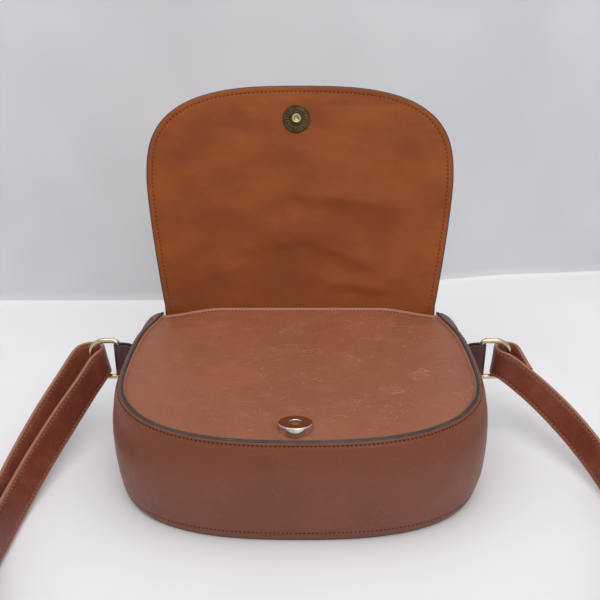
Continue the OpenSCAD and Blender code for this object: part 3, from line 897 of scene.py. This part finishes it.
LID_SPLIT = 38
LID_END = LID_SPLIT - FOLD_Z
LID_STEPS = 36
STITCH_END = -30
FLAP_STITCH = 3.2
FLAP_GROOVE_W = 0.7
FLAP_EDGE_WAVES = [(0.06, 4, 4, 1, 1)]
CLOTH_WAVES = [(0.55, 26, 2, 0.6, 1), (0.22, 12, 15, 0.7, 1.3)]
PUCKERS = [(0.3, 5.5, 60, 0.35, 1.6)]
FLAP_WAVES = [(0.35, 50, 70, 1, 1), (0.12, 15, 80, 1, 1)]
PLATE_FLAT = (10.5, 24)

# Places inwards from the flap's outline, and out of its lining
FLAP_EDGE_PROFILE = [(0.4, -0.3), (0, -0.38), (-0.45, -0.5), (-0.75, -0.85), (-0.85, -1.6), (-0.78, -2.3),
                     (-0.45, -2.85), (0.4, -3.05)]

# The lining's larger folds: place across, place beyond the fold, half length, width, height, tilt
LINING_FOLDS = [(24, 73, 40, 8, 2.4, -7), (-18, 43, 27, 7.5, 2.3, 10), (34, 34, 50, 8, 1.9, -24),
                (42, 14, 26, 6, 1.7, -6), (-58, 22, 24, 7, 1.2, 20), (66, 96, 24, 9, 1.3, -22),
                (-60, 92, 26, 9, 1.2, 14), (-22, 104, 36, 10, 0.9, -4)]


def fold_frame(s):
    """Place and lining-side normal at a distance beyond the fold, up the flap or down the lid."""
    up = (cos(FLAP_TURN), sin(FLAP_TURN))
    if s >= FOLD_R:
        return (FOLD_Y + s * up[0], FOLD_Z + s * up[1]), (-up[1], up[0])
    if s <= -FOLD_R:
        return (FOLD_Y, FOLD_Z + s), (-1, 0)
    top = (FOLD_Y + FOLD_R * up[0], FOLD_Z + FOLD_R * up[1])
    place, run = curve([(FOLD_Y, FOLD_Z - FOLD_R), (FOLD_Y, FOLD_Z), top], (s + FOLD_R) / (2 * FOLD_R))
    run /= np.linalg.norm(run)
    return tuple(place), (-run[1], run[0])


def sheet_point(x, s, out):
    (y, z), (ny, nz) = fold_frame(s)
    return x, y + out * ny, z + out * nz


def lining_folds(x, s):
    """Soft folds that are steeper on their lower side."""
    height = 0
    for fold_x, fold_s, length, width, rise, tilt in LINING_FOLDS:
        a = radians(tilt)
        along = (x - fold_x) * cos(a) + (s - fold_s) * sin(a)
        across = (s - fold_s) * cos(a) - (x - fold_x) * sin(a)
        height += rise * hill(along, 0, length) * hill(across, 0, width * (0.75 if across < 0 else 1.9))
    return height


def lining_relief(x, s, from_edge):
    """Soft folds in the flap's lining, small puckers at its seam, and the seam's groove."""
    plate_away = hypot(x + SNAP_OFFSET, s - SNAP_REACH)
    inner = ease(from_edge, FLAP_STITCH, 24) * ease(plate_away, *PLATE_FLAT)
    near_seam = ease(from_edge, FLAP_STITCH - 0.6, FLAP_STITCH + 1.5) * (1 - ease(from_edge, 7, 18))
    groove = -0.3 * hill(from_edge, FLAP_STITCH, FLAP_GROOVE_W) * ease(abs(s), 1, FOLD_R)
    edge = -0.25 * (1 - ease(from_edge, 0, 0.9))
    seat = 0.1 * ease(from_edge, FLAP_STITCH, 12)
    soft = 0.5 + waves(x, s, CLOTH_WAVES) + lining_folds(x, s)
    return edge + groove + near_seam * waves(x, s, PUCKERS) + seat + inner * soft


def leather_relief(x, s, from_edge):
    """The flap's outer leather: slightly padded, with a groove along its seam."""
    groove = -0.25 * hill(from_edge, FLAP_STITCH, FLAP_GROOVE_W)
    edge = -0.35 * (1 - ease(from_edge, 0, 1.2))
    return edge + groove + ease(from_edge, FLAP_STITCH, 20) * (0.25 + waves(x, s, FLAP_WAVES))


def flap_rows():
    """Places on the flap and the upper lid, from the tip downwards, each with its distance to the edge."""
    rows = [[(x, FLAP_LEN - y) for x, y in row] for row in outline_rows(FLAP, 0)]
    half = rows[-1][-1][0]
    for i in range(1, LID_STEPS + 1):
        rows.append([(x, LID_END * i / LID_STEPS) for x in side_places(half, SHEET_COLUMNS)])
    line = [(x, FLAP_LEN - y) for x, y in outline_line(FLAP, 0)]
    far_down = LID_END - 60
    line = np.array([(line[0][0], far_down)] + line + [(line[-1][0], far_down)])
    away = iter(distances_to_line([place for row in rows for place in row], line))
    return [[(x, s, next(away)) for x, s in row] for row in rows]


def bend_at_fold(piece):
    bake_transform(piece)


def flap():
    places = flap_rows()
    rows = []
    for row in places:
        left, right = [sheet_point(x, s, -LINING_T) for x, s, _ in (row[0], row[-1])]
        rows.append([left] + [sheet_point(x, s, lining_relief(x, s, away)) for x, s, away in row] + [right])
    make_grid("flap_lining_cloth", rows, LINING, bend_at_fold, "flap_lining")
    rows = [[sheet_point(x, s, -LAYERS_T - leather_relief(x, s, away)) for x, s, away in row]
            for row in places]
    make_grid("flap_outer_leather", rows, BODY_LEATHER, bend_at_fold, "flap_leather")
    flap_edge()
    flap_stitches()


def edge_line(inset):
    """The flap's outline with the upper lid's sides, as places (x, distance beyond the fold)."""
    line = [(x, FLAP_LEN - y) for x, y in outline_line(FLAP, inset, EDGE_STEPS)]
    down = [(line[0][0], LID_END * i / 24) for i in range(24, 0, -1)]
    return down + line + [(-x, s) for x, s in reversed(down)]


def flap_edge():
    rows = []
    for places in zip(*[edge_line(inset) for inset, _ in FLAP_EDGE_PROFILE]):
        wave = waves(*places[0], FLAP_EDGE_WAVES)
        rows.append([sheet_point(*place, z + wave) for place, (_, z) in zip(places, FLAP_EDGE_PROFILE)])
    make_grid("flap_edge", rows, EDGE_PAINT, bend_at_fold)


def flap_stitches():
    places = [(x, s) for x, s in smoothed(edge_line(FLAP_STITCH), 4) if s >= STITCH_END]
    for name, out, sign, material in (("flap_lining_stitches", -0.24, 1, LINING_THREAD),
                                      ("flap_leather_stitches", -LAYERS_T + 0.2, -1, SEAM_THREAD)):
        line = [sheet_point(x, s, out) for x, s in places]
        normals = [(0, *(sign * n for n in fold_frame(s)[1])) for _, s in places]
        make_stitches(name, line, normals, material, bend_at_fold, slant=9, pitch=LONG_PITCH, radius=0.34)


# Lower lid, which bends up from the back panel

HINGE_Y = FOLD_Y + LAYERS_T
OUTER_TURN_R = 4
INNER_TURN_R = 1.2
LID_EDGE_PROFILE = [(0.2, -0.4), (-0.2, 0.2), (-0.35, 1.4), (-0.2, 2.5), (0.2, 3)]


def bend_at_hinge(piece):
    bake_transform(piece)


def lid_line(y, low_z, radius, down_steps, turn_steps, back_steps):
    """A face's line from the lid's upper part, round the hinge and onto the back panel, as (y, z)."""
    line = [(y, LID_SPLIT - i * 1.5) for i in range(down_steps)]
    line += arc(y - radius, low_z + radius, radius, 0, -90, turn_steps)
    return line + [(y - radius - i * 1.2, low_z) for i in range(1, back_steps + 1)]


def lower_lid():
    across = side_places(FOLD_HALF_W, 90)
    outer = lid_line(HINGE_Y, 0.1, OUTER_TURN_R, 20, 11, 8)
    rows = []
    for y, z in outer:
        soft = 0.1 * ease(z, 4, 20) * ease(LID_SPLIT - z, 0, 10)
        rows.append([(x, y + soft * bump_noise(x, y, z, 20), z) for x in across])
    make_grid("lid_outer_leather", rows, BODY_LEATHER, bend_at_hinge, "lid_leather")
    rows = []
    for y, z in lid_line(FOLD_Y, LAYERS_T + 0.1, INNER_TURN_R, 22, 7, 5):
        soft = 0.4 * ease(z, 4, 14) * ease(LID_SPLIT - z, 0, 12)
        rows.append([(x, y - soft * abs(bump_noise(x, z, 3, 22)), z) for x in across])
    make_grid("lid_inner_lining", rows, LINING, bend_at_hinge, "lid_lining")
    for side, name in SIDES:
        rows = [[(side * (FOLD_HALF_W - inset), y - LAYERS_T + deep, z) for inset, deep in LID_EDGE_PROFILE]
                for y, z in outer if z > 6]
        make_grid(f"{name}_lid_edge", rows, EDGE_PAINT, bend_at_hinge)


# Snap

SNAP_STACK = SOCKET_H + PLATE_T + GAP
ABOVE_FRONT = (FOLD_Z - front_height(FOLD_Y)) * cos(SLOPE)
CLOSED_SLOPE = SLOPE - asin((SNAP_STACK - ABOVE_FRONT) / SNAP_REACH)
SOCKET_Y = FOLD_Y - SNAP_REACH * cos(CLOSED_SLOPE) + SNAP_STACK * sin(SLOPE)
LATHE_STEPS = 96
AXIS_R = 0.01
SOCKET_LEAN = radians(17)
SOCKET_SINK = 1.7
SOCKET_DEPTH = LAYERS_T - 0.2
SOCKET_CORNER = 0.7
HOLE_CORNER = 0.45
MAGNET_WALL = 0.7
BEAD_R = 6.2
BEAD_COUNT = 22
RIDGE_RS = (4.4, 8.3)
STUD_FOOT_R = 2.6
STUD_CORNER = 0.4


def at_socket(x, y, z):
    """The socket leans back about the middle of its face, its far edge sunk in the soft leather."""
    z -= SOCKET_H
    along = y * cos(SOCKET_LEAN) + z * sin(SOCKET_LEAN)
    out = SOCKET_H - SOCKET_SINK - y * sin(SOCKET_LEAN) + z * cos(SOCKET_LEAN)
    out = max(out, -SOCKET_DEPTH)
    return (x - SNAP_OFFSET, SOCKET_Y + along * cos(SLOPE) - out * sin(SLOPE),
            front_height(SOCKET_Y) + along * sin(SLOPE) + out * cos(SLOPE))


def at_plate(x, y, z):
    return flap_place(x - SNAP_OFFSET, SNAP_REACH + y, z)


def lathe(name, profile, place, material, body, *nodes, stamp=None):
    """A turned piece. The stamp raises each point by its radius and angle."""
    rows = []
    for r, z in profile:
        row = []
        for i in range(LATHE_STEPS):
            a = 2 * pi * i / LATHE_STEPS
            lift = stamp(r, a) if stamp else 0
            row.append(place(r * cos(a), r * sin(a), z + lift))
        rows.append(row)
    make_grid(name, rows, material, body, *nodes, wrap=True)


def snap_socket():
    rim = SOCKET_D / 2
    wall = rim - 0.1
    hole = SOCKET_HOLE_D / 2
    profile = [(rim - 0.4, -2.6), (rim - 0.2, -1), (rim - 0.12, 0.5), (wall, 1.5), (wall, 2.4)]
    profile += arc(wall - SOCKET_CORNER, SOCKET_H - SOCKET_CORNER, SOCKET_CORNER, 0, 90, 8)
    profile += [(wall - SOCKET_CORNER - step, SOCKET_H) for step in (0.1, 0.3, 1.5)]
    profile += [(hole + HOLE_CORNER + step, SOCKET_H) for step in (1.5, 0.3, 0.1)]
    profile += arc(hole + HOLE_CORNER, SOCKET_H - HOLE_CORNER, HOLE_CORNER, 90, 180)
    profile += [(hole, SOCKET_H - 0.6), (hole + 0.5, SOCKET_H - 1), (hole + 0.5, 0.5), (hole, 0.35),
                (AXIS_R, 0.35)]
    lathe("socket_cap", profile, at_socket, SOCKET_METAL, "root", "snap_socket")
    inner = hole + 2 * MAGNET_WALL
    outer = rim - MAGNET_WALL - 0.4
    top = SOCKET_H - MAGNET_WALL
    profile = [(inner, 0.2), (outer, 0.2), (outer, top), (inner, top), (inner, 0.2)]
    lathe("socket_magnet", profile, at_socket, MAGNET, "root", "snap_magnet")


def plate_stamp(r, a):
    """A ring of small beads between two ridges."""
    beads = 0.5 * hill(r, BEAD_R, 0.9) * max(0, cos(BEAD_COUNT * a))
    return beads + 0.3 * sum(hill(r, ridge_r, 0.3) for ridge_r in RIDGE_RS)


def snap_plate():
    rim = PLATE_D / 2
    profile = [(STUD_FOOT_R + (rim - 0.5 - STUD_FOOT_R) * i / 44, PLATE_T - 0.25) for i in range(45)]
    profile += [(rim - 0.35, PLATE_T - 0.12), (rim - 0.15, PLATE_T - 0.2), (rim, PLATE_T - 0.5), (rim, -0.3)]
    lathe("flap_plate", profile, at_plate, PLATE_METAL, "flap", "snap_plate", stamp=plate_stamp)
    top = PLATE_T + STUD_H
    stud_r = STUD_D / 2
    profile = [(AXIS_R, top - 0.9), (1.3, top - 0.9), (1.5, top - 0.5), (1.8, top)]
    profile += arc(stud_r - STUD_CORNER, top - STUD_CORNER, STUD_CORNER, 90, 0)
    profile += [(stud_r - 0.1, PLATE_T + 0.6), (stud_r, PLATE_T + 0.15), (stud_r + 0.3, PLATE_T - 0.3)]
    lathe("flap_stud", profile, at_plate, STUD_METAL, "flap")


# Rings

LOOP_LOW_X = TAB_GAP + max(wall_point(side_share(TAB_Y), 1, 0.5, 2 * LEATHER_T)[0],
                           wall_point(side_share(TAB_Y + TAB_W / 2), 1, 0.5)[0])
LOOP_IN_R = RING_WIRE / 2 + BAR_GAP
BAR_X = LOOP_LOW_X + LOOP_IN_R + LEATHER_T + LOOP_STAND
RING_REACH = RING_IN_W + RING_WIRE
RING_OUT_X = BAR_X + RING_REACH
RING_HALF_H = (RING_IN_H + RING_WIRE) / 2


def ring_path():
    """The ring's middle line, from its bar, as places across and up."""
    far = RING_REACH - RING_CORNER_R
    high = RING_HALF_H - RING_CORNER_R
    bar_high = RING_HALF_H - RING_BAR_CORNER_R
    line = arc(far, high, RING_CORNER_R, 90, 0, 12) + arc(far, -high, RING_CORNER_R, 0, -90, 12)
    line += arc(RING_BAR_CORNER_R, -bar_high, RING_BAR_CORNER_R, -90, -180, 12)
    line += arc(RING_BAR_CORNER_R, bar_high, RING_BAR_CORNER_R, 180, 90, 12)
    return resample([(x, z, 0) for x, z in line + line[:1]], 1)[:-1]


def ring(side, name):
    line = ring_path()
    tangents = line_tangents(np.concatenate([line[-1:], line, line[:1]]))[1:-1]
    rows = []
    for (x, z, _), (tx, tz, _) in zip(line, tangents):
        rows.append([(side * (BAR_X + x - a * tz), TAB_Y + b, RING_Z + z + a * tx)
                     for a, b in arc(0, 0, RING_WIRE / 2, 0, 360, 16)[:-1]])
    rows.append(rows[0])
    make_grid(f"{name}_ring_wire", rows, RING_METAL, f"{name}_ring", f"{name}_ring", wrap=True)


# Tabs: two layers sewn on the gusset, which loop round the ring's bar

TAB_DEPTH_SHARE = (RING_Z - PAINT_T) / (front_z(LOOP_LOW_X, TAB_Y) + RIM_H - PAINT_T)

# Places out of the tab's middle line, and up as a share of its width or beyond its edge
TAB_PROFILE = [(-0.5, -0.5), (-0.7, -0.48), (-0.72, 0), (-0.7, 0.48), (-0.5, 0.5), (0, 0.505),
               (0.5, 0.5), (0.7, 0.48), (0.72, 0), (0.7, -0.48), (0.5, -0.5), (0, -0.505)]
TAB_EDGE_PROFILE = [(-0.72, -0.7), (-0.76, -0.1), (-0.5, 0.12), (0, 0.18), (0.5, 0.12), (0.76, -0.1),
                    (0.72, -0.7)]


def tab_line():
    """The tab's middle line on the right, seen from above."""
    low_y = TAB_Y - TAB_PATCH_LEN
    under = [wall_point(side_share(y), 1, TAB_DEPTH_SHARE, LEATHER_T / 2)[:2]
             for y in np.linspace(low_y, TAB_Y - 3, 14)]
    over = [wall_point(side_share(y), 1, TAB_DEPTH_SHARE, 1.5 * LEATHER_T + 0.05)[:2]
            for y in np.linspace(TAB_Y - 5, low_y, 14)]
    turn = arc(BAR_X, TAB_Y, LOOP_IN_R + LEATHER_T / 2, 100, -110, 19)
    leave = [(LOOP_LOW_X - 1.9, TAB_Y - 0.6), (LOOP_LOW_X - 0.6, TAB_Y + 0.9), (LOOP_LOW_X + 1.6, TAB_Y + 2)]
    join = [(LOOP_LOW_X + 1.2, TAB_Y - 2.3), (LOOP_LOW_X, TAB_Y - 3.4)]
    return resample([(x, y, 0) for x, y in under + leave + turn + join + over], 0.8)


def tab(side, name):
    line = smoothed(tab_line(), 4)
    faces = []
    edges = {1: [], -1: []}
    for (x, y, _), (tx, ty, _) in zip(line, line_tangents(line)):
        faces.append([(side * (x - a * ty), y + a * tx, RING_Z + b * TAB_W) for a, b in TAB_PROFILE])
        for up, rows in edges.items():
            rows.append([(side * (x - a * ty), y + a * tx, RING_Z + up * (TAB_W / 2 + b))
                         for a, b in TAB_EDGE_PROFILE])

    def bend_at_loop(piece):
        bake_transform(piece)

    make_grid(f"{name}_tab", faces, TAB_LEATHER, bend_at_loop, f"{name}_tab_patch", f"{name}_tab_loop",
              wrap=True, caps=True)
    for up, word in ((1, "top"), (-1, "bottom")):
        make_grid(f"{name}_tab_{word}_edge", edges[up], TAB_PAINT, bend_at_loop, caps=True)


# Strap

FRONT_Y = BOTTOM_Y - STRAP_REACH
TURN_R = RING_WIRE / 2 + TURN_PLAY + STRAP_T / 2
TURN_Z = RING_Z - (RING_IN_H - STRAP_W) / 2 + TURN_GAP
SLIDER_PLANE = STRAP_T + LAY_GAP + STRAP_T / 2 + SLIDER_WIRE / 2 + LAY_GAP
SLIDER_TURN_R = SLIDER_WIRE / 2 + LAY_GAP + STRAP_T / 2
SLIDER_OVER = SLIDER_PLANE + SLIDER_TURN_R + STRAP_T + LAY_GAP
RING_LEAN = 0.3
LEG_LEAN = 0.62
LEAN_GROWS = (8, 50)
LEAN_FADES = (125, 166)
STRAP_STITCH = STRAP_W / 2 - 2.2
STRAP_GROOVE = 0.4
STRAP_GROOVE_W = 0.6
LAYER_STEP = STRAP_T + LAY_GAP
STRAP_STEP = 1.6


def leg_curve(side, t):
    """Place and slope at a share of a leg, seen from above with its own side as positive."""
    turn = radians(EXITS[side])
    start = np.array((RING_OUT_X, TAB_Y)) - TURN_R * np.array((cos(turn), sin(turn)))
    pull = start + PULLS[side] * np.array((sin(turn), -cos(turn)))
    return curve((start, pull, (SPREAD, FRONT_Y), (0, FRONT_Y)), t)


def leg_height(side, t):
    fall = (TURN_Z - STRAP_W / 2) * max(0, 1 - t / FALL_SHARE) ** FALL_POWER
    rise = SLIDER_RISE * hill(t, SLIDER_SHARE, SLIDER_ZONE_SHARE) if side < 0 else 0
    return STRAP_W / 2 + fall + rise


def lean_at(side, place):
    """How far the strap leans for each millimetre up, across the bag and along it."""
    turn = radians(EXITS[side])
    away = hypot(place[0] - RING_OUT_X, place[1] - TAB_Y)
    amount = RING_LEAN + (LEG_LEAN - RING_LEAN) * ease(away, *LEAN_GROWS)
    amount *= 1 - ease(away, *LEAN_FADES)
    return side * amount * cos(turn), amount * sin(turn)


def leg_point(side, t, off):
    """A point that stands outside the leg's line, with its lean."""
    place, run = leg_curve(side, t)
    place = place + off * np.array((-run[1], run[0])) / np.linalg.norm(run)
    return (side * place[0], place[1], leg_height(side, t)) + lean_at(side, place)


SLIDER_SPEED = np.linalg.norm(leg_curve(-1, SLIDER_SHARE)[1])


def slider_t(s):
    """The left leg's place at a distance past the slider's middle."""
    return SLIDER_SHARE + s / SLIDER_SPEED


def weave(t):
    """From 0 outside the slider to 1 at its middle."""
    s = (t - SLIDER_SHARE) * SLIDER_SPEED
    return (1 + cos(pi * s / SLIDER_HALF_LEN)) / 2 if abs(s) < SLIDER_HALF_LEN else 0


def layers_apart(t, end_t):
    return LAYER_STEP + (2 * TURN_R - LAYER_STEP) * max(0, 1 - t / end_t) ** OPEN_POWER


def main_off(t):
    """How far outside the left leg's line its outer layer lies."""
    end_t = slider_t(SLIDER_HALF_LEN)
    close = (1 - t) / (1 - end_t) if t > end_t else 1
    return layers_apart(t, slider_t(-SLIDER_HALF_LEN)) * close + (SLIDER_OVER - LAYER_STEP) * weave(t)


def turn_line(side):
    """The strap's half turn through a ring."""
    points = []
    for x, y in arc(RING_OUT_X, TAB_Y, TURN_R, EXITS[side], EXITS[side] + 180, 24)[1:-1]:
        points.append((side * x, y, TURN_Z) + lean_at(side, (x, y)))
    return points


def strap_line():
    """The strap's middle line with its leans, from its tail at the right ring to its end at the slider."""
    tail_t = TAIL_LEN / np.linalg.norm(leg_curve(1, 0)[1])
    inner_t = slider_t(-SLIDER_HALF_LEN)
    line = [leg_point(1, t, layers_apart(t, tail_t)) for t in np.linspace(tail_t, 0, 20)]
    line += turn_line(1)
    line += [leg_point(1, t, 0) for t in np.linspace(0, 1, 130)]
    line += [leg_point(-1, t, main_off(t)) for t in np.linspace(1, 0, 300)[1:]]
    line += turn_line(-1)
    line += [leg_point(-1, t, 0) for t in np.linspace(0, inner_t, 110)]
    line += [leg_point(-1, slider_t(s), (SLIDER_PLANE - SLIDER_TURN_R) * weave(slider_t(s)))
             for s in np.linspace(-SLIDER_HALF_LEN, 0, 14)[1:]]
    slider_turn = arc(0, SLIDER_PLANE, SLIDER_TURN_R, -90, 90, 13)[1:]
    return line + [leg_point(-1, slider_t(s), off) for s, off in slider_turn]


def strap_profile():
    """Half the strap's thickness at places across it: padded middle, stitched grooves, folded edges."""
    half_w = STRAP_W / 2
    face = []
    for i in range(27):
        v = -half_w + 0.7 + (STRAP_W - 1.4) * i / 26
        groove = STRAP_GROOVE * hill(abs(v), STRAP_STITCH, STRAP_GROOVE_W)
        face.append((v, STRAP_T / 2 - 0.06 - groove - 0.12 * ease(abs(v), STRAP_STITCH + 0.5, half_w - 0.5)))
    edge = [(half_w - 0.28, 1.12), (half_w - 0.03, 0.72), (half_w - 0.02, 0.3), (half_w - 0.22, 0)]
    edge += [(v, -h) for v, h in edge[-2::-1]]
    loop = [(h, v) for v, h in face + edge]
    return loop + [(-h, v) for v, h in face[::-1]] + [(-h, -v) for v, h in edge]


def strap_frames(line):
    """Places along the strap, with the directions out of its face and up across it."""
    tangents = line_tangents(line[:, :3])
    ups = np.stack([line[:, 3], line[:, 4], np.ones(len(line))], axis=1)
    outs = np.cross(tangents, ups)
    outs /= np.linalg.norm(outs, axis=1)[:, None]
    ups = np.cross(outs, tangents)
    ups /= np.linalg.norm(ups, axis=1)[:, None]
    return line[:, :3], outs, ups


def strap():
    points, outs, ups = strap_frames(smoothed(resample(strap_line(), STRAP_STEP), 3))
    profile = strap_profile()
    rows = []
    for i, (point, out, up) in enumerate(zip(points, outs, ups)):
        row = []
        for a, b in profile:
            dent = 0.1 * bump_noise(i * STRAP_STEP, b, 33 if a > 0 else 60, 9) * (abs(b) < STRAP_STITCH)
            row.append(point + (a + copysign(dent, a)) * out + b * up)
        rows.append(row)
    piece = make_grid("strap_leather", rows, STRAP_LEATHER, "strap", "strap", wrap=True, caps=True)
    # Painted highlight: the folded edges past the stitch rows are painted paler.
    paint_light(piece, [ease(abs(b), STRAP_STITCH + 0.5, STRAP_STITCH + 1.3) for _ in rows for _, b in profile])
    face = STRAP_T / 2 - 0.34
    for word, sign in (("outer", 1), ("inner", -1)):
        for up_word, v in (("upper", STRAP_STITCH), ("lower", -STRAP_STITCH)):
            row = points + sign * face * outs + v * ups
            make_stitches(f"strap_{word}_{up_word}_stitches", row[2:-2], sign * outs[2:-2], STRAP_THREAD,
                          "strap", slant=8, pitch=LONG_PITCH, radius=0.32)


# Pieces kept from the frame

KEPT = {"back_board": BOARD, "lid_board": BOARD, "flap_board": BOARD,
        "socket_washer": STEEL, "plate_washer": STEEL, "slider": SLIDER_METAL}
SLIDER_EDGE_R = 0.55


def kept_pieces():
    for name, material in KEPT.items():
        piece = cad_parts[name]
        piece.data.materials.clear()
        piece.data.materials.append(material)
    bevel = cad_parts["slider"].modifiers.new("round_edges", "BEVEL")
    bevel.width = SLIDER_EDGE_R * MM
    bevel.segments = 3


# Stage, lights and camera

FLOOR_DROP = 0.15
WALL_Y = (282, 373)
WALL_TURN_X = (-150, 330)
WALL_R = 12
STAGE_HALF_W = 2200
CAMERA_PLACE = (0, -0.3698, 0.2517)
CAMERA_PITCH = 21
CAMERA_LENS = 42
SENSOR_W = 36
WORLD_COLOUR = (0.98, 0.98, 1, 1)
WORLD_STRENGTH = 0.58


def hide_back(tree):
    """Lets a view from behind the wall pass through it."""
    output = tree.nodes["Material Output"].inputs["Surface"]
    behind = node(tree, "NewGeometry", {})["Backfacing"]
    clear = node(tree, "BsdfTransparent", {})[0]
    tree.links.new(node(tree, "MixShader", {0: behind, 1: output.links[0].from_socket, 2: clear})[0], output)


def wall_turn(start, end):
    """The backdrop's turn from the table up the wall, as places back and up."""
    return [(WALL_R * (sin(a) - 1), WALL_R * (1 - cos(a))) for a in np.linspace(start, end, 6)]


def stage():
    hide_back(SHADED_WALL_CLOTH.node_tree)
    flat = [(-2500, 0), (-900, 0), (-300, 0), (-WALL_R, 0)] + wall_turn(0, 0.7)
    upright = flat[-1:] + wall_turn(0.75, 1.5) + [(60, 700), (200, 2400)]
    # The upright part takes the grey cloth, whose grey is painted shade.
    for name, profile, material in (("backdrop_table", flat, TABLE_CLOTH),
                                    ("backdrop_wall", upright, SHADED_WALL_CLOTH)):
        rows = []
        for back, up in profile:
            row = []
            for x in np.linspace(-STAGE_HALF_W, STAGE_HALF_W, 41):
                wall_y = WALL_Y[0] + (WALL_Y[1] - WALL_Y[0]) * ease(x, *WALL_TURN_X)
                row.append((x, wall_y + back, up - FLOOR_DROP))
            rows.append(row)
        make_grid(name, rows, material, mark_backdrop)


def area_light(name, place, target, size, power):
    data = bpy.data.lights.new(name, "AREA")
    data.shape = "RECTANGLE"
    data.size, data.size_y = size
    data.energy = power
    light = add_object(name, data)
    light.location = place
    light.rotation_euler = (Vector(target) - Vector(place)).to_track_quat("-Z", "Y").to_euler()


def lights():
    area_light("top_softbox", (-0.05, -0.1, 1.25), target=(0, 0, 0.05), size=(1.5, 1.5), power=9.4)
    area_light("front_softbox", (0.5, -1.3, 0.9), target=(0, 0, 0.1), size=(1.2, 0.8), power=4.2)
    world = bpy.data.worlds.new("studio")
    world.use_nodes = True
    background = world.node_tree.nodes["Background"]
    background.inputs["Color"].default_value = WORLD_COLOUR
    background.inputs["Strength"].default_value = WORLD_STRENGTH
    bpy.context.scene.world = world


def camera():
    data = bpy.data.cameras.new("camera")
    data.lens = CAMERA_LENS
    data.sensor_width = SENSOR_W
    data.clip_start = 0.01
    data.dof.use_dof = False
    item = add_object("camera", data)
    item.location = CAMERA_PLACE
    item.rotation_euler = (radians(90 - CAMERA_PITCH), 0, 0)
    bpy.context.scene.camera = item
    bpy.context.scene.view_settings.view_transform = "Standard"


front_panel()
front_edge()
gusset()
back_panel()
front_board()
body_linings()
flap()
lower_lid()
snap_socket()
snap_plate()
for ring_side, ring_name in SIDES:
    ring(ring_side, ring_name)
    tab(ring_side, ring_name)
strap()
kept_pieces()
stage()
lights()
camera()
